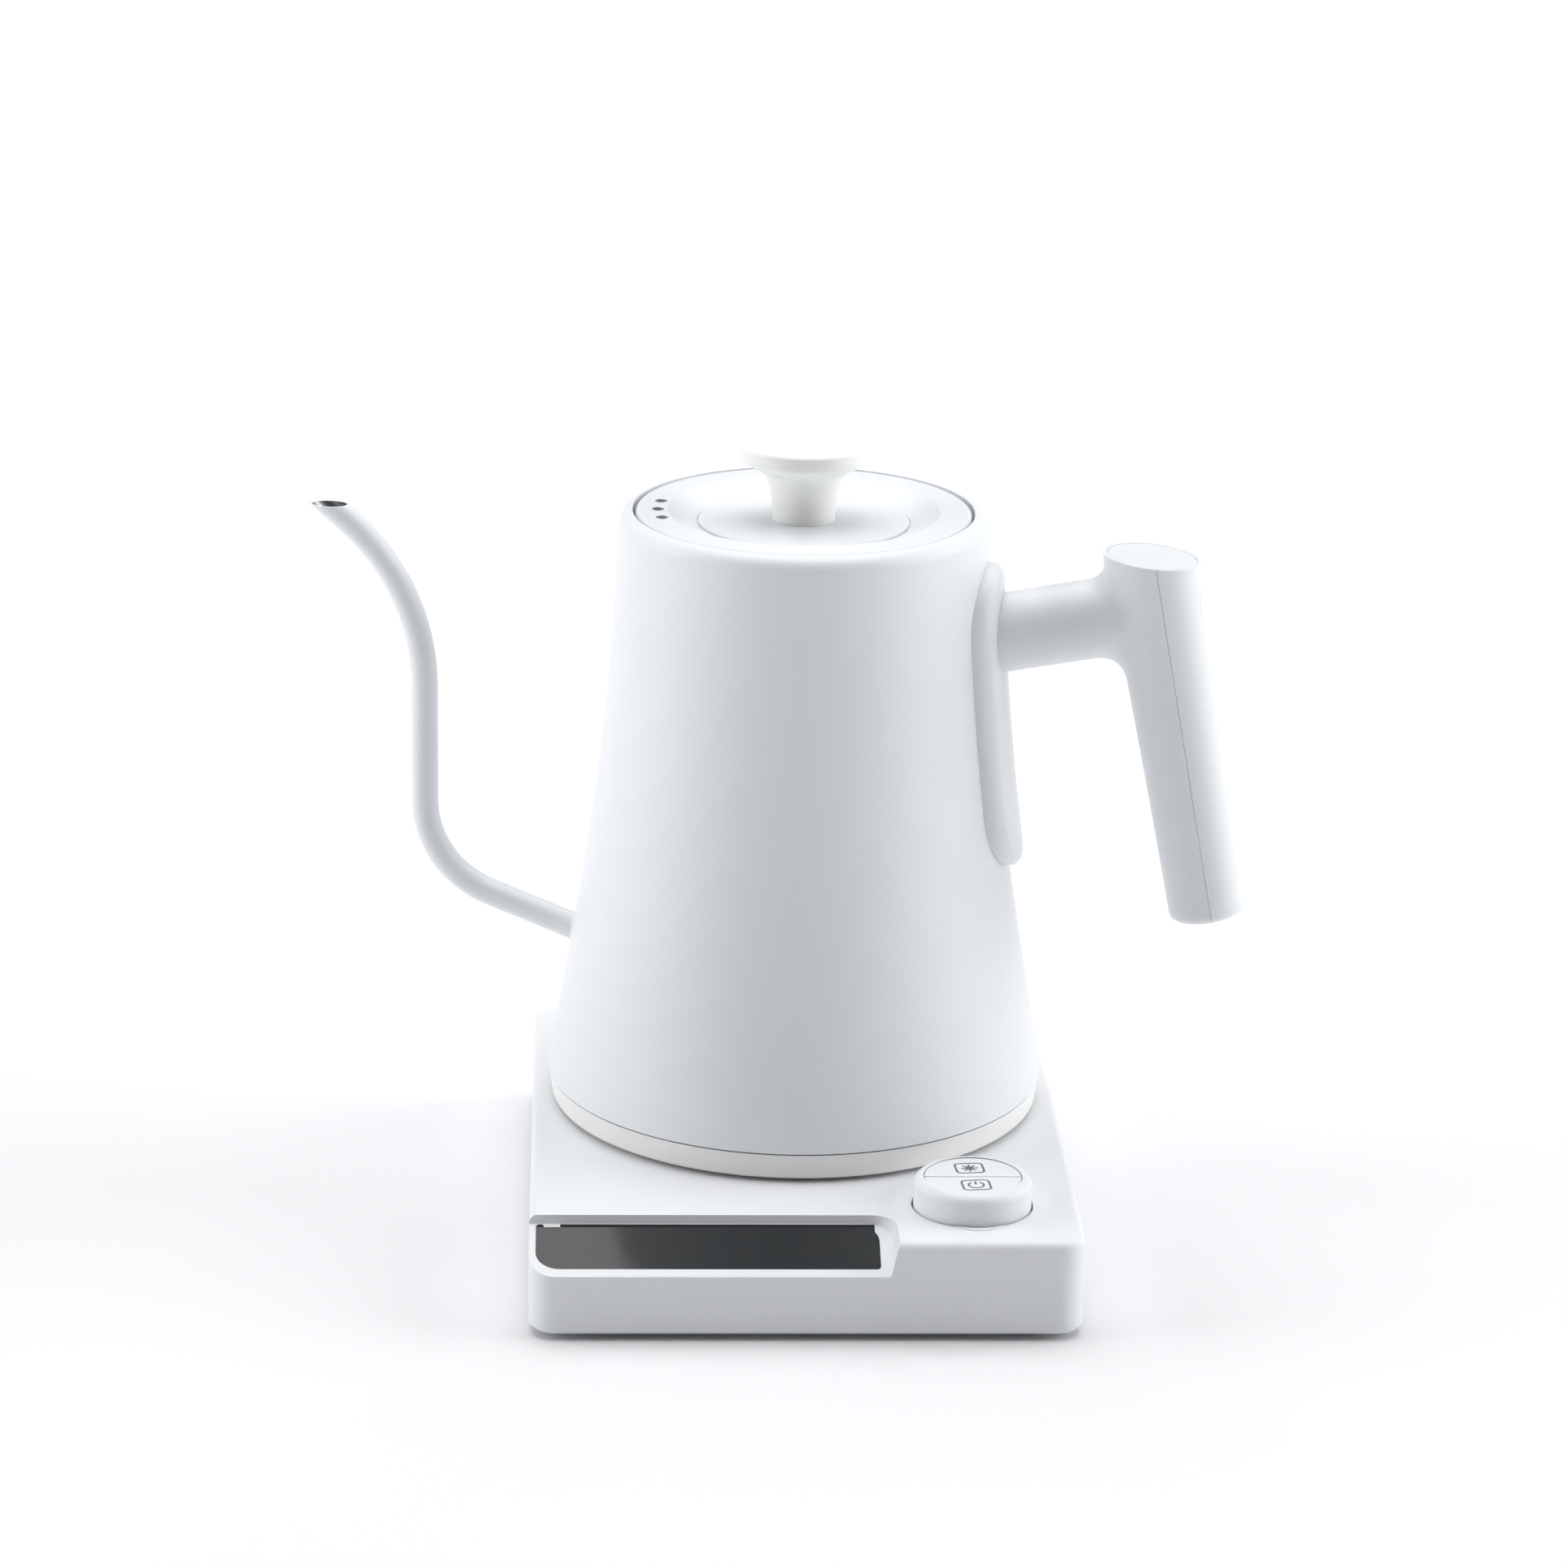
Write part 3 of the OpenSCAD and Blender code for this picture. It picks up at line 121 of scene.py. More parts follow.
@dataclass(frozen=True)
class Finish:
    """A procedural surface: one base colour with relief and slight variation at real sizes."""

    name: str
    colour: str
    slot: str
    roughness: float = 0.5
    metallic: float = 0.0
    grain: Grain = Grain.SPARK
    grain_mm: float = 0.5
    depth_mm: float = 0.01
    drift: float = 0.02
    drift_mm: float = 40.0
    coat: float = 0.0
    coat_roughness: float = 0.1
    ior: float | None = None
    wander: float = 0.04

    def material(self) -> bpy.types.Material:
        """Material of this finish, built the first time that it is asked for."""
        return bpy.data.materials.get(self.name) or self.build()

    def build(self) -> bpy.types.Material:
        """Build the node tree.

        Returns:
            The new material.
        """
        made = bpy.data.materials.new(self.name)
        made.use_nodes = True
        tree = made.node_tree
        shader = tree.nodes["Principled BSDF"]
        shader.inputs["Metallic"].default_value = self.metallic
        shader.inputs["Coat Weight"].default_value = self.coat
        shader.inputs["Coat Roughness"].default_value = self.coat_roughness
        if self.ior is not None:
            shader.inputs["IOR"].default_value = self.ior
        made.diffuse_color = linear(self.colour)
        place = add_node(tree, "TexCoord").outputs["Object"]
        self.paint(tree, shader, place)
        self.rough(tree, shader, place)
        self.relief(tree, shader, place)
        return made

    def paint(self, tree: bpy.types.NodeTree, shader: bpy.types.Node,
              place: bpy.types.NodeSocket) -> None:
        """Colour with a slow drift between a slightly darker and the full tone.

        Args:
            tree: the material's node tree.
            shader: its Principled node.
            place: the surface's own coordinates.
        """
        full = linear(self.colour)
        dark = tuple(c * (1 - 2 * self.drift) for c in full[:3]) + (1.0,)
        cloud = add_node(tree, "TexNoise", {"Scale": per_mm(self.drift_mm), "Detail": 3.0},
                         {"Vector": place})
        blend = add_node(tree, "ValToRGB", links={"Fac": cloud.outputs["Fac"]})
        blend.color_ramp.elements[0].position = 0.3
        blend.color_ramp.elements[0].color = dark
        blend.color_ramp.elements[1].position = 0.7
        blend.color_ramp.elements[1].color = full
        tree.links.new(blend.outputs["Color"], shader.inputs["Base Color"])

    def rough(self, tree: bpy.types.NodeTree, shader: bpy.types.Node,
              place: bpy.types.NodeSocket) -> None:
        """Roughness that wanders by a few hundredths, as handling leaves it.

        Args:
            tree: the material's node tree.
            shader: its Principled node.
            place: the surface's own coordinates.
        """
        wear = add_node(tree, "TexNoise", {"Scale": per_mm(self.drift_mm / 3), "Detail": 4.0},
                        {"Vector": place})
        span = add_node(tree, "MapRange", {"To Min": self.roughness - self.wander,
                                           "To Max": self.roughness + self.wander},
                        {"Value": wear.outputs["Fac"]})
        tree.links.new(span.outputs["Result"], shader.inputs["Roughness"])

    def relief(self, tree: bpy.types.NodeTree, shader: bpy.types.Node,
               place: bpy.types.NodeSocket) -> None:
        """Fine relief of the surface, as a bump of its real depth.

        Args:
            tree: the material's node tree.
            shader: its Principled node.
            place: the surface's own coordinates.
        """
        scale = STRETCH.get(self.grain)
        if scale is not None:
            place = add_node(tree, "Mapping", {"Scale": scale}, {"Vector": place}).outputs["Vector"]
        if self.grain is Grain.ORANGE_PEEL:
            bumps = add_node(tree, "TexVoronoi", {"feature": "SMOOTH_F1",
                                                  "Scale": per_mm(self.grain_mm)},
                             {"Vector": place}).outputs["Distance"]
        else:
            bumps = add_node(tree, "TexNoise", {"Scale": per_mm(self.grain_mm), "Detail": 2.0},
                             {"Vector": place}).outputs["Fac"]
        bump = add_node(tree, "Bump", {"Distance": self.depth_mm * MM, "Strength": 1.0},
                        {"Height": bumps})
        tree.links.new(bump.outputs["Normal"], shader.inputs["Normal"])


@dataclass(frozen=True)
class Laminate(Finish):
    """Fibreglass circuit board: copper tracks show through a green lacquer."""

    track: str = "3E8F5A"
    track_mm: float = 3.0

    def paint(self, tree: bpy.types.NodeTree, shader: bpy.types.Node,
              place: bpy.types.NodeSocket) -> None:
        """Colour of the lacquer, lighter over the tracks.

        Args:
            tree: the material's node tree.
            shader: its Principled node.
            place: the surface's own coordinates.
        """
        bricks = add_node(tree, "TexBrick", {"Scale": per_mm(self.track_mm) / 4, "Mortar Size": 0.06,
                                             "Color1": linear(self.colour),
                                             "Color2": linear(self.colour),
                                             "Mortar": linear(self.track)}, {"Vector": place})
        tree.links.new(bricks.outputs["Color"], shader.inputs["Base Color"])


# Polyester powder baked on steel: an even satin white, its orange peel just breaks the highlights up.
POWDER_COAT = Finish("powder_coat_white_satin", "E8EBEE", "powder_coated_steel", roughness=0.46,
                     grain=Grain.ORANGE_PEEL, grain_mm=0.55, depth_mm=0.012, drift=0.006)
# Moulded ABS from a fine spark-eroded tool: matt white, softer highlights than the coated steel.
ABS_WHITE = Finish("moulded_abs_white", "EBEDEF", "white_plastic", roughness=0.5, grain_mm=0.4,
                   depth_mm=0.008, drift=0.006)
# Heat-resistant PP of the skirt: a touch warmer than the ABS and lighter than the body's white. The
# extra lightness is painted light that stands in for light lost in the body's shade.
PP_WHITE_PAINTED_LIGHT = Finish("moulded_pp_white_painted_light", "F2F2F0", "warm_white_plastic", roughness=0.52, grain_mm=0.5,
                 depth_mm=0.01, drift=0.01)
# Nylon of the handle from a smoother tool: the same white, with a slightly tighter sheen.
NYLON_WHITE = Finish("moulded_nylon_white", "E9ECEE", "handle_plastic", roughness=0.42, grain_mm=0.6,
                     depth_mm=0.006, drift=0.006)
# Spun 18/8 steel, bare inside the vessel: grey with rings that catch the light.
STAINLESS_SPUN = Finish("spun_stainless_steel", "A9A8A4", "stainless_steel", roughness=0.3, metallic=1.0,
                        grain=Grain.SPUN, grain_mm=0.6, depth_mm=0.004, drift=0.03)
# Drawn 18/8 steel tube, bare in the bore: the drawing marks run along it.
STAINLESS_DRAWN = Finish("drawn_stainless_steel", "B3B5B5", "stainless_steel", roughness=0.42,
                         metallic=1.0, grain=Grain.DRAWN, grain_mm=0.3, depth_mm=0.003, drift=0.04)
# Rolled aluminium sheet of the heat spreader: pale, soft and cloudy.
ALUMINIUM_SHEET = Finish("rolled_aluminium", "C4C6C8", "aluminium", roughness=0.4, metallic=1.0,
                         grain=Grain.DRAWN, grain_mm=0.4, depth_mm=0.004, drift=0.03)
# Zinc plated steel of screws and studs: bluish and bright, with a cloudy passivated skin.
ZINC_PLATE = Finish("zinc_plated_steel", "B9C0C6", "zinc_steel", roughness=0.34, metallic=1.0,
                    grain=Grain.FLAT, grain_mm=1.5, depth_mm=0.004, drift=0.08, drift_mm=6.0)
# Stamped brass of the contacts: yellow, a little tarnished in patches.
BRASS_STAMPED = Finish("stamped_brass", "C6A052", "brass", roughness=0.3, metallic=1.0,
                       grain=Grain.DRAWN, grain_mm=0.4, depth_mm=0.003, drift=0.08, drift_mm=8.0)
# Smoked acrylic window, printed black behind: deep, with a clear polished face.
SMOKED_ACRYLIC = Finish("smoked_acrylic_window", "15191C", "black_glass", roughness=0.1,
                        grain=Grain.FLAT, grain_mm=30.0, depth_mm=0.004, drift=0.05, ior=1.49)
# Black moulded PBT of relay, switches and buzzer: dull, faintly glass-filled.
PBT_BLACK = Finish("moulded_pbt_black", "232426", "dark_plastic", roughness=0.5, grain_mm=0.5,
                   depth_mm=0.01, drift=0.1)
# Silicone rubber: translucent grey-white, soft and slightly greasy.
SILICONE_GREY = Finish("moulded_silicone_grey", "C9CBCA", "silicone", roughness=0.55, grain_mm=0.8,
                       depth_mm=0.006, drift=0.02)
# Grey vulcanised rubber feet: matt, with bloom in patches.
RUBBER_GREY = Finish("vulcanised_rubber_grey", "55585A", "feet_rubber", roughness=0.75, grain_mm=0.4,
                     depth_mm=0.02, drift=0.08, drift_mm=8.0)
# Yellow polyester tape round the transformer: glossy film over dull turns.
POLYESTER_TAPE = Finish("polyester_tape_yellow", "D9B63A", "yellow_tape", roughness=0.3,
                        grain=Grain.DRAWN, grain_mm=1.2, depth_mm=0.03, drift=0.03)
# Etched fibreglass board under a green lacquer.
FIBREGLASS_BOARD = Laminate("etched_fibreglass_board", "1F6B3C", "circuit_board", roughness=0.35,
                            grain_mm=0.8, depth_mm=0.01)
# Pad-printed symbols: a flat mid-grey ink film.
GREY_INK = Finish("pad_printed_grey_ink", "6A7075", "dark_plastic", roughness=0.55,
                  grain=Grain.FLAT, grain_mm=0.6, depth_mm=0.002, drift=0.02)


# ---------------------------------------------------------------- mesh helpers

def dress(node: str, finish: Finish, edge_mm: float = 0.0, sharp_deg: float = 32.0) -> bpy.types.Object:
    """Give a node of the frame its finish, and round its edges slightly.

    Args:
        node: name of the frame's node.
        finish: the finish of its whole surface.
        edge_mm: width of the bevel on its edges, none at 0.
        sharp_deg: edges that turn more than this count as edges.

    Returns:
        The node's object.
    """
    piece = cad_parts[node]
    piece.data.materials.clear()
    piece.data.materials.append(finish.material())
    soften(piece, edge_mm, sharp_deg)
    LOG.info("dressed %s in %s", node, finish.name)
    return piece


def soften(piece: bpy.types.Object, edge_mm: float, sharp_deg: float = 32.0) -> None:
    """Bevel a piece's edges and shade what lies between them smoothly.

    Args:
        piece: object to work on, by modifiers only.
        edge_mm: width of the bevel, none at 0.
        sharp_deg: edges that turn more than this are bevelled.
    """
    if edge_mm <= 0:
        return
    weld = piece.modifiers.new("weld", "WELD")
    weld.merge_threshold = 0.002 * MM
    bevel = piece.modifiers.new("edges", "BEVEL")
    bevel.width = edge_mm * MM
    bevel.segments = 2
    bevel.limit_method = "ANGLE"
    bevel.angle_limit = math.radians(sharp_deg)
    bevel.use_clamp_overlap = True
    bevel.harden_normals = True
    normals = piece.modifiers.new("normals", "WEIGHTED_NORMAL")
    normals.keep_sharp = True


def make_piece(name: str, mesh: bpy.types.Mesh, body: str, finish: Finish,
               replaces: Sequence[str] = ()) -> bpy.types.Object:
    """Turn a mesh into a piece that rides on a body.

    Args:
        name: name of the piece.
        mesh: its mesh, in the frame's axes.
        body: body of the frame that it moves with.
        finish: its finish, given to the mesh when it has no material yet.
        replaces: frame nodes that it stands for.

    Returns:
        The new object.
    """
    piece = bpy.data.objects.new(name, mesh)
    bpy.context.scene.collection.objects.link(piece)
    if not mesh.materials:
        mesh.materials.append(finish.material())
    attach(piece, body)
    if replaces:
        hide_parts(*replaces)
    LOG.info("made %s with %d faces on %s", name, len(mesh.polygons), body)
    return piece


def mesh_of(name: str, points: Sequence[Sequence[float]], faces: Sequence[Sequence[int]],
            smooth_deg: float = 40.0) -> bpy.types.Mesh:
    """Make a smooth-shaded mesh from points in millimetres.

    Args:
        name: name of the mesh.
        points: its points, in millimetres.
        faces: its faces, as rows of point numbers.
        smooth_deg: edges that turn more than this stay sharp.

    Returns:
        The new mesh, with its faces turned outward.
    """
    mesh = bpy.data.meshes.new(name)
    mesh.from_pydata([Vector(p) * MM for p in points], [], faces)
    tidy_mesh(mesh, smooth_deg)
    return mesh


def tidy_mesh(mesh: bpy.types.Mesh, smooth_deg: float) -> None:
    """Merge doubles, turn the faces outward and shade smoothly up to an angle."""
    work = bmesh.new()
    work.from_mesh(mesh)
    bmesh.ops.remove_doubles(work, verts=work.verts, dist=0.001 * MM)
    bmesh.ops.recalc_face_normals(work, faces=work.faces)
    work.to_mesh(mesh)
    work.free()
    mesh.shade_smooth()
    mesh.set_sharp_from_angle(angle=math.radians(smooth_deg))


def grid_faces(rows: int, columns: int) -> list[tuple[int, int, int, int]]:
    """Faces between rings of points.

    Args:
        rows: number of rings.
        columns: points in a ring.

    Returns:
        The faces, as four point numbers each.
    """
    return [(r * columns + c, r * columns + (c + 1) % columns,
             (r + 1) * columns + (c + 1) % columns, (r + 1) * columns + c)
            for r in range(rows - 1) for c in range(columns)]


def loop_faces(rows: int, columns: int) -> list[tuple[int, int, int, int]]:
    """Faces between rings of points, with the last ring joined to the first.

    Args:
        rows: number of rings.
        columns: points in a ring.

    Returns:
        The faces, as four point numbers each.
    """
    last = (rows - 1) * columns
    return grid_faces(rows, columns) + [(last + k, last + (k + 1) % columns, (k + 1) % columns, k)
                                        for k in range(columns)]


def cut_with(piece: bpy.types.Object, tool: bpy.types.Object, operation: str = "DIFFERENCE") -> None:
    """Apply an exact boolean to a piece and throw the tool away.

    Args:
        piece: object that is cut.
        tool: closed object that cuts it.
        operation: DIFFERENCE, UNION or INTERSECT.
    """
    step = piece.modifiers.new("cut", "BOOLEAN")
    step.operation = operation
    step.object = tool
    step.solver = "EXACT"
    apply_modifiers(piece)
    bpy.data.objects.remove(tool)


def apply_modifiers(piece: bpy.types.Object) -> None:
    """Replace a piece's mesh by what its modifiers make of it."""
    bpy.context.view_layer.update()
    graph = bpy.context.evaluated_depsgraph_get()
    made = bpy.data.meshes.new_from_object(piece.evaluated_get(graph))
    piece.modifiers.clear()
    piece.data = made


def loose(name: str, mesh: bpy.types.Mesh, place: Matrix | None = None) -> bpy.types.Object:
    """Put a mesh into the scene as a working object.

    Args:
        name: name of the object.
        mesh: its mesh.
        place: where the mesh's own axes stand, in metres.

    Returns:
        The working object, with its place moved into the mesh.
    """
    if place is not None:
        mesh.transform(place)
    made = bpy.data.objects.new(name, mesh)
    bpy.context.scene.collection.objects.link(made)
    return made


def drum(radius: float, low: float, high: float, place: Matrix, sides: int = 96) -> bpy.types.Object:
    """Plain cylinder to cut with, along the local z axis.

    Args:
        radius: its radius, in millimetres.
        low: its lower end along the axis.
        high: its upper end along the axis.
        place: where the axis stands, in metres.
        sides: number of sides.

    Returns:
        The working object.
    """
    turns = [2 * math.pi * k / sides for k in range(sides)]
    points = [(radius * math.cos(a), radius * math.sin(a), z) for z in (low, high) for a in turns]
    faces = grid_faces(2, sides) + [tuple(range(sides)), tuple(range(sides, 2 * sides))]
    return loose("drum", mesh_of("drum", points, faces), place)


def block(low: Sequence[float], high: Sequence[float], place: Matrix) -> bpy.types.Object:
    """Plain box to cut with, between two corners in millimetres.

    Args:
        low: its lowest corner.
        high: its highest corner.
        place: where its axes stand, in metres.

    Returns:
        The working object.
    """
    corners = [(x, y, z) for x in (low[0], high[0]) for y in (low[1], high[1])
               for z in (low[2], high[2])]
    faces = [(0, 1, 3, 2), (4, 6, 7, 5), (0, 4, 5, 1), (2, 3, 7, 6), (0, 2, 6, 4), (1, 5, 7, 3)]
    return loose("block", mesh_of("block", corners, faces), place)


# ---------------------------------------------------------------- the kettle's own shape

@dataclass
class Vessel:
    """Powder coated steel body with its skirt, its floor and the heating pack under it."""

    turn_deg: float = -10.0
    body_r: float = 75.2
    seam_z: float = 40.0
    cone_lean: float = 9.54
    cone_h: float = 50.0
    hollow_r: float = 898.0
    top_lean: float = 1.78
    sheet: float = 0.8
    seat_z: float = 208.4

    def place(self) -> Matrix:
        """Turn of the kettle on its base."""
        return Matrix.Rotation(math.radians(self.turn_deg), 4, "Z")

    def wall_r(self, z: float) -> float:
        """Outer radius of the wall.

        Args:
            z: height above the worktop, in millimetres.

        Returns:
            The radius there, in millimetres.
        """
        cone_top_z = self.seam_z + self.cone_h
        cone_top_r = self.body_r - self.cone_h * math.tan(math.radians(self.cone_lean))
        if z <= cone_top_z:
            return self.body_r - (z - self.seam_z) * math.tan(math.radians(self.cone_lean))
        lean = math.radians(self.cone_lean)
        turned = math.sin(lean) - (z - cone_top_z) / self.hollow_r
        angle = math.asin(max(turned, math.sin(math.radians(self.top_lean))))
        return cone_top_r - self.hollow_r * (math.cos(angle) - math.cos(lean))

    def dress(self) -> None:
        """Give the vessel's pieces their finishes, bare steel inside the shell."""
        shell = dress("body_shell", POWDER_COAT)
        shell.data.materials.append(STAINLESS_SPUN.material())
        for face in shell.data.polygons:
            z = face.center.z / MM
            radius = face.center.xy.length / MM
            inside = z < self.seat_z + 0.1 and radius < self.wall_r(z) - self.sheet / 2
            face.material_index = 1 if inside else 0
        # The skirt's white is lighter than the body's: painted light against the shade that the body
        # casts on it.
        dress("bottom_skirt", PP_WHITE_PAINTED_LIGHT)
        dress("heat_plate", STAINLESS_SPUN)
        dress("heat_spreader", ALUMINIUM_SHEET)
        dress("heating_element", STAINLESS_DRAWN)
        dress("temperature_sensor", STAINLESS_DRAWN)
        dress("thermal_cutouts", PBT_BLACK)
        dress("skirt_screws", ZINC_PLATE)
        dress("upper_connector", PBT_BLACK)


@dataclass
class Spout:
    """Gooseneck: a drawn tube in two bends, cut level at the pouring edge."""

    vessel: Vessel
    outer_r: float = 4.05
    bore_r: float = 3.4
    rise_deg: float = 20.0
    reach: float = 114.8
    low_bend_r: float = 30.0
    low_bend_end_z: float = 117.6
    top_bend_r: float = 66.0
    top_bend_deg: float = 50.0
    top_bend_z: float = 154.5
    tip_z: float = 209.4
    fillet: float = 1.2
    fillet_steps: int = 4
    sink: float = 0.02
    sides: int = 48
    bend_steps: int = 24

    def stations(self) -> list[tuple[Vector, Vector]]:
        """Points along the middle line with the tube's direction there.

        Returns:
            Each point in millimetres, and the unit direction towards the tip.
        """
        low = math.radians(90 - self.rise_deg)
        top = math.radians(self.top_bend_deg)

        def heading(lean: float) -> Vector:
            """Direction at a lean from upright, towards the tip."""
            return Vector((-math.sin(lean), 0, math.cos(lean)))

        line = []
        for i in range(self.bend_steps + 1):
            lean = low * (1 - i / self.bend_steps)
            line.append((Vector((self.low_bend_r * (1 - math.cos(lean)) - self.reach, 0,
                                 self.low_bend_end_z - self.low_bend_r * math.sin(lean))),
                         heading(lean)))
        for i in range(self.bend_steps + 1):
            lean = top * i / self.bend_steps
            line.append((Vector((-self.reach - self.top_bend_r * (1 - math.cos(lean)), 0,
                                 self.top_bend_z + self.top_bend_r * math.sin(lean))),
                         heading(lean)))
        return line

    def ring(self, point: Vector, along: Vector, radius: float) -> list[Vector]:
        """Ring of points round the tube's middle line.

        Args:
            point: middle of the ring, in millimetres.
            along: direction of the tube there.
            radius: radius of the ring.

        Returns:
            The ring's points.
        """
        across = Vector((0, 1, 0))
        third = along.cross(across)
        return [point + radius * (math.cos(a) * third + math.sin(a) * across)
                for a in (2 * math.pi * k / self.sides for k in range(self.sides))]

    def at_wall(self, point: Vector, along: Vector, inward: float) -> Vector:
        """Slide a point back along the tube until it meets the vessel's wall.

        Args:
            point: starting point, in millimetres.
            along: direction of the tube.
            inward: how far inside the wall's outer face to stop.

        Returns:
            The point on the wall.
        """
        found = point.copy()
        for _ in range(12):
            gap = found.xy.length - (self.vessel.wall_r(found.z) - inward)
            found -= along * gap
        return found

    def rings(self, radius: float, root: bool) -> list[list[Vector]]:
        """All rings of one surface of the tube, from the wall to the tip.

        Args:
            radius: radius of the surface.
            root: whether it flares into the wall with the weld's fillet.

        Returns:
            The rings, in order.
        """
        line = self.stations()
        start, along = line[0]
        end, last = line[-1]
        first = self.ring(start, along, radius)
        rows = [[self.at_wall(p, along, self.vessel.sheet) for p in first]]
        if root:
            for i in range(self.fillet_steps + 1):
                angle = math.pi / 2 * i / self.fillet_steps
                flare = self.fillet * (1 - math.sin(angle))
                back = self.fillet * (1 - math.cos(angle))
                rows.append([self.at_wall(p, along, 0) + along * (back - self.sink)
                             for p in self.ring(start, along, radius + flare)])
        rows += [self.ring(point, way, radius) for point, way in line]
        rows.append([p + last * ((self.tip_z - p.z) / last.z) for p in self.ring(end, last, radius)])
        return rows

    def build(self) -> None:
        """Build the tube as one closed piece with a bare bore and a bare cut edge."""
        outer = self.rings(self.outer_r, True)
        inner = self.rings(self.bore_r, False)
        rows = outer + inner[::-1]
        points = [p for row in rows for p in row]
        mesh = mesh_of("spout", points, loop_faces(len(rows), self.sides), 50)
        coated = (len(outer) - 1) * self.sides
        mesh.materials.append(POWDER_COAT.material())
        mesh.materials.append(STAINLESS_DRAWN.material())
        for number, face in enumerate(mesh.polygons):
            face.material_index = 0 if number < coated + self.sides else 1
        mesh.transform(self.vessel.place())
        make_piece("spout", mesh, "kettle", POWDER_COAT, ["spout_tube"])


@dataclass
class Handle:
    """Two moulded shells over a steel sleeve, on a plate that follows the body's wall."""

    vessel: Vessel
    arm_z: float = 167.8
    arm_tilt: float = 12.2
    arm_r: float = 11.8
    arm_start: float = 56.0
    cross_x: float = 106.7
    grip_x: float = 103.7
    grip_z: float = 206.6
    grip_tilt: float = 10.7
    grip_l: float = 112.2
    top_r: float = 14.2
    end_r: float = 11.4
    taper: float = 1.35
    end_round: float = 2.6
    arm_round: float = 1.0
    core_r: float = 13.0
    wall: float = 2.4
    cap_r: float = 13.4
    cap_t: float = 2.2
    cap_slope: float = 4.8
    cap_rise: float = 6.0
    plug_r: float = 5.8
    seat_gap: float = 0.06
    plug_gap: float = 0.1
    plate_gap: float = 0.05
    stud_hole_r: float = 5.05
    parting: float = 2.0
    parting_gap: float = 0.05
    blend_top: float = 7.0
    blend_low: float = 9.0
    blend_side: float = 2.0
    voxel: float = 1.3
    plate_h: float = 92.5
    plate_w: float = 38.0
    plate_mid_z: float = 155.3
    plate_t: float = 4.8
    plate_round: float = 3.6

    def grip_place(self) -> Matrix:
        """Axes of the grip, in metres: z runs up, with 0 at its top."""
        return (self.vessel.place() @ Matrix.Translation((self.grip_x * MM, 0, self.grip_z * MM))
                @ Matrix.Rotation(math.radians(-self.grip_tilt), 4, "Y"))

    def cap_place(self) -> Matrix:
        """Axes of the cap, in metres: z runs out of its face, with 0 on the face."""
        return (self.vessel.place() @ Matrix.Translation((self.grip_x * MM, 0, self.grip_z * MM))
                @ Matrix.Rotation(math.radians(self.cap_slope), 4, "Y"))

    def arm_place(self) -> Matrix:
        """Axes of the arm, in metres: z runs outward from the kettle's axis."""
        return (self.vessel.place() @ Matrix.Translation((0, 0, self.arm_z * MM))
                @ Matrix.Rotation(math.radians(90 - self.arm_tilt), 4, "Y"))

    def distance(self, points: np.ndarray) -> np.ndarray:
        """Distance to the handle's skin, negative inside, with the arm blended into the grip.

        Args:
            points: places in millimetres, before the kettle's turn, one a row.

        Returns:
            The distances, in millimetres.
        """
        grip_way = np.array([-math.sin(math.radians(self.grip_tilt)), 0,
                             math.cos(math.radians(self.grip_tilt))])
        out = points - np.array([self.grip_x, 0, self.grip_z])
        height = out @ grip_way
        radius = np.linalg.norm(out - height[:, None] * grip_way, axis=1)
        share = np.clip(1 + height / self.grip_l, 0, 1.1)
        side = radius - (self.end_r + (self.top_r - self.end_r) * share ** self.taper)
        grip = rounded_corner(side, -height - self.grip_l, self.end_round)
        grip = np.maximum(grip, height - self.cap_rise)
        arm_way = np.array([math.cos(math.radians(self.arm_tilt)), 0,
                            math.sin(math.radians(self.arm_tilt))])
        out = points - np.array([0, 0, self.arm_z])
        along = out @ arm_way
        away = out - along[:, None] * arm_way
        radius = np.linalg.norm(away, axis=1) + 1e-9
        arm_end = self.cross_x / math.cos(math.radians(self.arm_tilt))
        arm = rounded_corner(radius - self.arm_r, along - arm_end, self.arm_round)
        arm = np.maximum(arm, self.arm_start - along)
        above = np.array([-arm_way[2], 0, arm_way[0]])
        upward = (away @ above) / radius
        reach = np.where(upward > 0, self.blend_top, self.blend_low)
        reach = self.blend_side + (reach - self.blend_side) * upward ** 2
        share = np.maximum(reach - np.abs(grip - arm), 0) / reach
        return np.minimum(grip, arm) - share ** 2 * reach / 4

    def settle(self, points: np.ndarray, level: float) -> np.ndarray:
        """Move points onto a level of the skin's distance.

        Args:
            points: places in millimetres.
            level: the distance to reach, negative inside.

        Returns:
            The moved points.
        """
        step = 0.02
        for _ in range(10):
            miss = self.distance(points) - level
            slope = np.stack([(self.distance(points + axis) - self.distance(points - axis)) / (2 * step)
                              for axis in np.eye(3) * step], axis=1)
            size = np.maximum((slope ** 2).sum(1), 0.05)
            points = points - np.clip(miss / size, -2, 2)[:, None] * slope
        return points

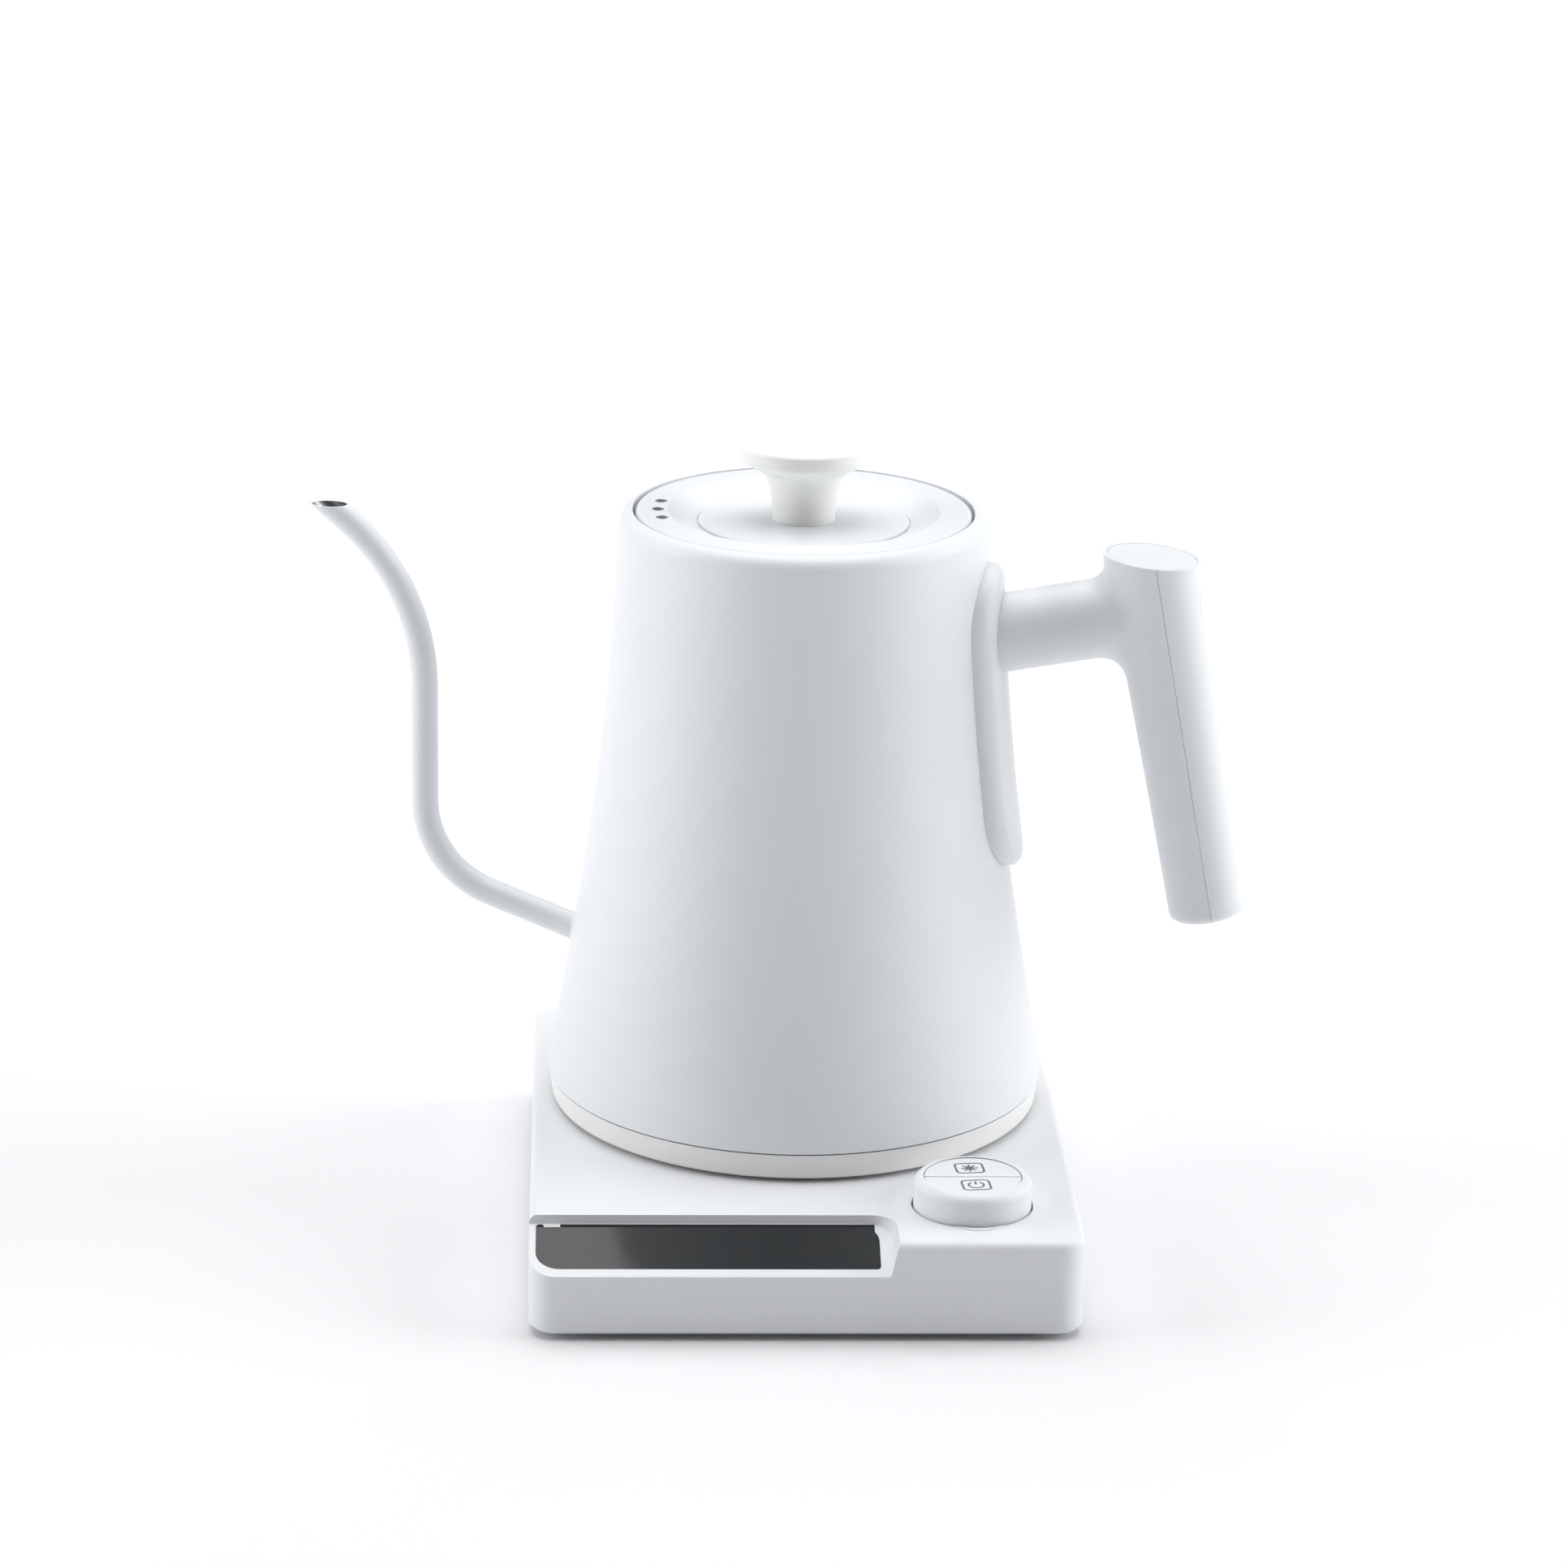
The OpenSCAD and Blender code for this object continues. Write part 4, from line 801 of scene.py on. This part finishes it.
    def skin(self, level: float) -> bpy.types.Object:
        """Closed surface at a level of the skin's distance.

        Args:
            level: the distance to follow, 0 for the outside.

        Returns:
            The working object, turned with the kettle.
        """
        turn = self.vessel.place().inverted()
        arm_end = self.cross_x / math.cos(math.radians(self.arm_tilt))
        grip = drum(self.core_r + level, -self.grip_l - level, self.cap_rise + level,
                    turn @ self.grip_place())
        arm = drum(self.arm_r + level, self.arm_start - level, arm_end + level,
                   turn @ self.arm_place())
        cut_with(grip, arm, "UNION")
        remesh = grip.modifiers.new("voxels", "REMESH")
        remesh.mode = "VOXEL"
        remesh.voxel_size = self.voxel * MM
        apply_modifiers(grip)
        count = len(grip.data.vertices)
        places = np.zeros(count * 3)
        grip.data.vertices.foreach_get("co", places)
        places = self.settle(places.reshape(-1, 3) / MM, level) * MM
        grip.data.vertices.foreach_set("co", places.ravel())
        grip.data.transform(self.vessel.place())
        grip.data.update()
        return grip

    def shells(self) -> None:
        """Build the two moulded shells: hollow, parted along a plane, seated for cap and plug."""
        # The blocks and drums that cut reach well past the handle on their open sides.
        skin = self.skin(0)
        cut_with(skin, self.skin(-self.wall))
        grip, arm, cap = self.grip_place(), self.arm_place(), self.cap_place()
        cut_with(skin, block((-60, -40, 0), (60, 40, 20), cap))
        cut_with(skin, drum(self.cap_r + self.seat_gap, -self.cap_t, 5, cap))
        for name, node in (("handle_inner_half", "handle_inner_shell"),
                           ("handle_outer_half", "handle_outer_shell")):
            half = loose("half", skin.data.copy())
            gap = self.parting_gap
            if node == "handle_inner_shell":
                cut_with(half, block((self.parting - gap, -60, -140), (60, 60, 30), grip))
                cut_with(half, self.body_tool(self.plate_t + self.plate_gap))
            else:
                cut_with(half, block((-90, -60, -140), (self.parting + gap, 60, 30), grip))
                cut_with(half, drum(self.plug_r + self.plug_gap, 112, 140, arm))
            mesh = half.data
            bpy.data.objects.remove(half)
            mesh.name = name
            mesh.materials.clear()
            tidy_mesh(mesh, 38)
            make_piece(name, mesh, "kettle", NYLON_WHITE, [node])
        bpy.data.objects.remove(skin)

    def body_tool(self, grow: float) -> bpy.types.Object:
        """Solid of the vessel's outside over the handle's height, grown outward.

        Args:
            grow: how far it is grown, in millimetres.

        Returns:
            The working object.
        """
        heights = [80 + 4 * i for i in range(32)]
        profile = [(self.vessel.wall_r(z) + grow, z) for z in heights]
        rings = [(r * math.cos(a), r * math.sin(a), z) for r, z in profile
                 for a in (2 * math.pi * k / 180 for k in range(180))]
        faces = grid_faces(len(profile), 180)
        faces += [tuple(range(180)), tuple(range((len(profile) - 1) * 180, len(profile) * 180))]
        return loose("body_tool", mesh_of("body_tool", rings, faces))

    def outline(self, inset: float, count: int) -> list[tuple[float, float]]:
        """Points round the plate's stadium outline, moved inward.

        Args:
            inset: how far inward, in millimetres.
            count: points on each half turn and on each straight side.

        Returns:
            The points, as distance across and height.
        """
        radius = self.plate_w / 2 - inset
        straight = self.plate_h / 2 - self.plate_w / 2
        points = []
        for side in (1, -1):
            for i in range(count):
                a = math.pi * i / count
                points.append((side * radius * math.cos(a),
                               self.plate_mid_z + side * (straight + radius * math.sin(a))))
            for i in range(count):
                z = straight * (1 - 2 * i / count)
                points.append((-side * radius, self.plate_mid_z + side * z))
        return points

    def plate(self) -> None:
        """Build the plate: a stadium laid on the body's wall, with a fully rounded edge."""
        count = 32
        levels = [(0.0, 0.1)]
        levels += [(self.plate_round * (1 - math.cos(a)),
                    self.plate_t - self.plate_round * (1 - math.sin(a)))
                   for a in (math.pi / 2 * i / 8 for i in range(9))]
        levels += [(self.plate_round + (self.plate_w / 2 - self.plate_round - 0.01) * i / 8,
                    self.plate_t) for i in range(1, 9)]
        back = [(self.plate_w / 2 * (1 - i / 8) - 0.01 * (i == 0), 0.05) for i in range(9)]
        rows = []
        for inset, lift in levels + back:
            row = []
            for y, z in self.outline(max(inset, 0), count):
                radius = self.vessel.wall_r(z) + lift
                row.append((math.sqrt(radius ** 2 - y ** 2), y, z))
            rows.append(row)
        points = [p for row in rows for p in row]
        ring = len(rows[0])
        mesh = mesh_of("handle_base_plate", points, loop_faces(len(rows), ring), 50)
        mesh.transform(self.vessel.place())
        work = loose("plate", mesh)
        cut_with(work, drum(self.stud_hole_r, 40, 110, self.arm_place()))
        mesh = work.data
        bpy.data.objects.remove(work)
        mesh.materials.clear()
        tidy_mesh(mesh, 45)
        make_piece("handle_base_plate", mesh, "kettle", NYLON_WHITE, ["handle_plate"])

    def dress(self) -> None:
        """Give the handle's other pieces their finishes."""
        dress("handle_top_cap", NYLON_WHITE)
        dress("handle_plug", NYLON_WHITE)
        dress("handle_studs", ZINC_PLATE)
        dress("handle_sleeve", STAINLESS_DRAWN)
        dress("handle_bolt", ZINC_PLATE)

    def build(self) -> None:
        """Build the shells and the plate, and dress the rest."""
        self.shells()
        self.plate()
        self.dress()


def rounded_corner(side: np.ndarray, end: np.ndarray, radius: float) -> np.ndarray:
    """Distance to a convex corner between two faces, rounded.

    Args:
        side: distances to the first face, negative inside.
        end: distances to the second face, negative inside.
        radius: radius of the rounding.

    Returns:
        The distances to the rounded corner.
    """
    a, b = side + radius, end + radius
    return np.minimum(np.maximum(a, b), 0) + np.hypot(np.maximum(a, 0), np.maximum(b, 0)) - radius


@dataclass
class Lid:
    """Dished steel lid with its plastic knob, steel cup and silicone seal."""

    def dress(self) -> None:
        """Give the lid's pieces their finishes."""
        dress("lid_cover", POWDER_COAT)
        dress("lid_disc", POWDER_COAT)
        dress("lid_cup", STAINLESS_SPUN)
        dress("lid_seal", SILICONE_GREY)
        # The knob shares the skirt's lightened white, so it carries the same painted light.
        dress("lid_knob", PP_WHITE_PAINTED_LIGHT)
        dress("lid_knob_screw", ZINC_PLATE)


@dataclass
class Base:
    """Heating base: casing, connector, the electronics inside it and the dial's index mark."""

    top_z: float = 30.5
    mark_r: float = 18.1
    mark_w: float = 1.9
    mark_t: float = 0.4
    mark_turn_deg: float = 4.0
    mark_span_deg: float = 44.0
    mark_root: float = 0.1
    mark_steps: int = 24

    def dress(self) -> None:
        """Give the base's pieces their finishes."""
        finishes = {
            ABS_WHITE: ["base_upper_cover", "base_bottom_cover", "cord_gland", "lower_connector",
                        "dial_post", "dial_ring", "power_button", "light_button"],
            RUBBER_GREY: ["rubber_feet"],
            ZINC_PLATE: ["base_screws", "connector_screws"],
            BRASS_STAMPED: ["connector_contacts"],
            FIBREGLASS_BOARD: ["display_board", "power_board", "button_board", "encoder_board"],
            PBT_BLACK: ["relay", "filter_capacitors", "buzzer", "tact_switches"],
            POLYESTER_TAPE: ["transformer"],
        }
        for finish, nodes in finishes.items():
            for node in nodes:
                dress(node, finish)
        dress("display_window", SMOKED_ACRYLIC, edge_mm=0.25)

    def index_mark(self) -> None:
        """Mould the thin bright crescent that stands in front of the dial."""
        low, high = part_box("dial_ring")
        middle, count = (low + high) / 2 / MM, self.mark_steps
        points = []
        for i in range(count + 1):
            share = 2 * i / count - 1
            angle = math.radians(-90 + self.mark_turn_deg + share * self.mark_span_deg / 2)
            width = max(self.mark_w * (1 - share ** 2), 0.02)
            for radius, lift in ((self.mark_r, -self.mark_root),
                                 (self.mark_r + width, -self.mark_root),
                                 (self.mark_r + width * 0.8, self.mark_t),
                                 (self.mark_r + width * 0.2, self.mark_t)):
                points.append((middle.x + radius * math.cos(angle),
                               middle.y + radius * math.sin(angle), self.top_z + lift))
        faces = grid_faces(count + 1, 4) + [(0, 1, 2, 3), tuple(count * 4 + k for k in range(4))]
        make_piece("dial_index_mark", mesh_of("dial_index_mark", points, faces), "base", ABS_WHITE)


class Symbol(Enum):
    """Generic symbols printed on the two buttons."""

    SUN = "sun"
    POWER = "power"


@dataclass
class ButtonSymbols:
    """Symbols printed on the dial's two buttons, each in a round-cornered frame."""

    ink_t: float = 0.03
    line_w: float = 0.62
    frame_w: float = 8.0
    frame_d: float = 7.2
    frame_r: float = 1.4
    turn_deg: float = 5.0
    sun_r: float = 0.95
    sun_core_r: float = 0.45
    ray_from: float = 1.3
    ray_to: float = 2.5
    power_r: float = 2.2
    power_from_deg: float = 125.0
    power_to_deg: float = 415.0
    bar_from: float = 0.4
    bar_to: float = 2.6

    def strip(self, path: Sequence[tuple[float, float]], closed: bool) -> tuple[list, list]:
        """Flat strip of ink along a path, as a closed thin solid.

        Args:
            path: its middle line, in millimetres.
            closed: whether the line joins its own start.

        Returns:
            The points and the faces.
        """
        count = len(path)
        rows = []
        for i, here in enumerate(path):
            after = path[(i + 1) % count] if closed or i < count - 1 else here
            before = path[i - 1] if closed or i > 0 else here
            way = Vector((after[0] - before[0], after[1] - before[1])).normalized()
            off = Vector((-way.y, way.x)) * self.line_w / 2
            left, right = Vector(here) + off, Vector(here) - off
            rows += [(left.x, left.y, 0), (right.x, right.y, 0),
                     (right.x, right.y, self.ink_t), (left.x, left.y, self.ink_t)]
        if closed:
            return rows, loop_faces(count, 4)
        ends = [(0, 1, 2, 3), tuple((count - 1) * 4 + k for k in range(4))]
        return rows, grid_faces(count, 4) + ends

    def arc(self, radius: float, start: float, end: float, count: int,
            middle: tuple[float, float] = (0.0, 0.0)) -> list[tuple[float, float]]:
        """Points on an arc, between two angles in degrees."""
        return [(middle[0] + radius * math.cos(math.radians(start + (end - start) * i / count)),
                 middle[1] + radius * math.sin(math.radians(start + (end - start) * i / count)))
                for i in range(count + 1)]

    def frame_path(self) -> list[tuple[float, float]]:
        """Middle line of the round-cornered frame."""
        path = []
        for quarter, (sx, sy) in enumerate(((1, 1), (-1, 1), (-1, -1), (1, -1))):
            middle = (sx * (self.frame_w / 2 - self.frame_r), sy * (self.frame_d / 2 - self.frame_r))
            path += self.arc(self.frame_r, 90 * quarter, 90 * quarter + 90, 6, middle)
        return path

    def strokes(self, symbol: Symbol) -> list[tuple[list, bool]]:
        """Strokes of one symbol.

        Args:
            symbol: which one.

        Returns:
            Each stroke's middle line, and whether it is closed.
        """
        if symbol is Symbol.SUN:
            rays = [([(r * math.cos(a), r * math.sin(a)) for r in (self.ray_from, self.ray_to)], False)
                    for a in (math.pi * k / 4 for k in range(8))]
            return [(self.arc(r, 0, 345, 23), True) for r in (self.sun_r, self.sun_core_r)] + rays
        ring = self.arc(self.power_r, self.power_from_deg, self.power_to_deg, 24)
        return [(ring, False), ([(0, self.bar_from), (0, self.bar_to)], False)]

    def build_one(self, name: str, symbol: Symbol, node: str, body: str, offset: float) -> None:
        """Print one symbol on its button.

        Args:
            name: name of the piece.
            symbol: which symbol.
            node: the frame's node that carries it.
            body: the body that the button moves with.
            offset: how far the symbol stands from the dial's middle, in millimetres.
        """
        _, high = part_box(node)
        points, faces = [], []
        for path, closed in [(self.frame_path(), True)] + self.strokes(symbol):
            rows, sides = self.strip(path, closed)
            faces += [tuple(len(points) + k for k in face) for face in sides]
            points += rows
        ring_low, ring_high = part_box("dial_ring")
        middle = (ring_low + ring_high) / 2
        mesh = mesh_of(name, points, faces, 30)
        mesh.transform(Matrix.Translation((middle.x, middle.y, high.z + 0.001 * MM))
                       @ Matrix.Rotation(math.radians(self.turn_deg), 4, "Z")
                       @ Matrix.Translation((0, offset * MM, 0)))
        make_piece(name, mesh, body, GREY_INK)

    def build(self) -> None:
        """Print both symbols."""
        self.build_one("light_symbol", Symbol.SUN, "light_button", "light_key", 6.6)
        self.build_one("power_symbol", Symbol.POWER, "power_button", "power_key", -6.2)


# ---------------------------------------------------------------- studio

@dataclass
class Studio:
    """Pale floor, soft lights above and at both sides, and the camera."""

    floor_m: float = 14.0
    camera_place: tuple[float, float, float] = (-0.06537, -1.48509, 0.61568)
    camera_heading_deg: float = 2.348
    camera_drop_deg: float = 18.106
    camera_roll_deg: float = 0.992
    lens_mm: float = 119.13
    lights: list[tuple[str, tuple[float, float, float], tuple[float, float], float]] = field(
        default_factory=lambda: [
            ("overhead", (0.0, 0.5, 2.4), (3.0, 3.0), 76.0),
            ("left_wall", (-2.2, 0.0, 0.9), (1.8, 1.6), 31.0),
            ("right_wall", (2.2, 0.0, 0.9), (1.8, 1.6), 38.0),
        ])
    aim_m: float = 0.12
    ambient: float = 0.02
    glow_near_m: float = 0.3
    glow_far_m: float = 2.2
    glow_far: float = 0.7

    def floor(self) -> None:
        """Lay a matt white floor, with a glow that keeps it as pale where the lights fall off."""
        half = self.floor_m / 2
        mesh = bpy.data.meshes.new("floor")
        mesh.from_pydata([(-half, -half, 0), (half, -half, 0), (half, half, 0), (-half, half, 0)], [],
                         [(0, 1, 2, 3)])
        paint = bpy.data.materials.new("matt_white_paper")
        paint.use_nodes = True
        shader = paint.node_tree.nodes["Principled BSDF"]
        shader.inputs["Base Color"].default_value = linear("EAEBEC")
        shader.inputs["Roughness"].default_value = 0.9
        shader.inputs["Specular IOR Level"].default_value = 0.1
        shader.inputs["Emission Color"].default_value = linear("FBFCFD")
        tree = paint.node_tree
        place = add_node(tree, "TexCoord").outputs["Object"]
        away = add_node(tree, "VectorMath", {"operation": "LENGTH"}, {0: place}).outputs["Value"]
        glow = add_node(tree, "MapRange", {"From Min": self.glow_near_m, "From Max": self.glow_far_m,
                                           "To Min": 0.0, "To Max": self.glow_far}, {"Value": away})
        tree.links.new(glow.outputs["Result"], shader.inputs["Emission Strength"])
        mesh.materials.append(paint)
        ground = bpy.data.objects.new("floor", mesh)
        bpy.context.scene.collection.objects.link(ground)

    def light(self) -> None:
        """Hang the soft lights, each turned to the object, and a weak even surround."""
        for name, place, size, power in self.lights:
            lamp = bpy.data.lights.new(name, "AREA")
            lamp.shape = "RECTANGLE"
            lamp.size, lamp.size_y = size
            lamp.energy = power
            lamp.color = linear("FEFEFF")[:3]
            stand = bpy.data.objects.new(name, lamp)
            stand.location = place
            aim = Vector((0, 0, self.aim_m)) - Vector(place)
            stand.rotation_euler = aim.to_track_quat("-Z", "Y").to_euler()
            bpy.context.scene.collection.objects.link(stand)
        world = bpy.data.worlds.new("surround")
        world.use_nodes = True
        back = world.node_tree.nodes["Background"]
        back.inputs["Color"].default_value = linear("F6F7F8")
        back.inputs["Strength"].default_value = self.ambient
        bpy.context.scene.world = world

    def camera(self) -> None:
        """Set the camera up, with depth of field off and no shift."""
        lens = bpy.data.cameras.new("camera")
        lens.lens = self.lens_mm
        lens.sensor_width = 36
        stand = bpy.data.objects.new("camera", lens)
        heading, drop = math.radians(self.camera_heading_deg), math.radians(self.camera_drop_deg)
        way = Vector((math.sin(heading) * math.cos(drop), math.cos(heading) * math.cos(drop),
                      -math.sin(drop)))
        stand.rotation_mode = "QUATERNION"
        stand.rotation_quaternion = (way.to_track_quat("-Z", "Y")
                                     @ Quaternion((0, 0, 1), math.radians(self.camera_roll_deg)))
        stand.location = self.camera_place
        bpy.context.scene.collection.objects.link(stand)
        bpy.context.scene.camera = stand

    def build(self) -> None:
        """Set up the floor, the lights and the camera."""
        self.floor()
        self.light()
        self.camera()
        bpy.context.scene.view_settings.view_transform = "Standard"


def main() -> None:
    """Build the whole object and its studio, in order."""
    logging.basicConfig(level=logging.INFO, format="%(message)s")
    Studio().build()
    base = Base()
    base.dress()
    base.index_mark()
    ButtonSymbols().build()
    vessel = Vessel()
    vessel.dress()
    Spout(vessel).build()
    Handle(vessel).build()
    Lid().dress()


if __name__ == "__main__":
    main()
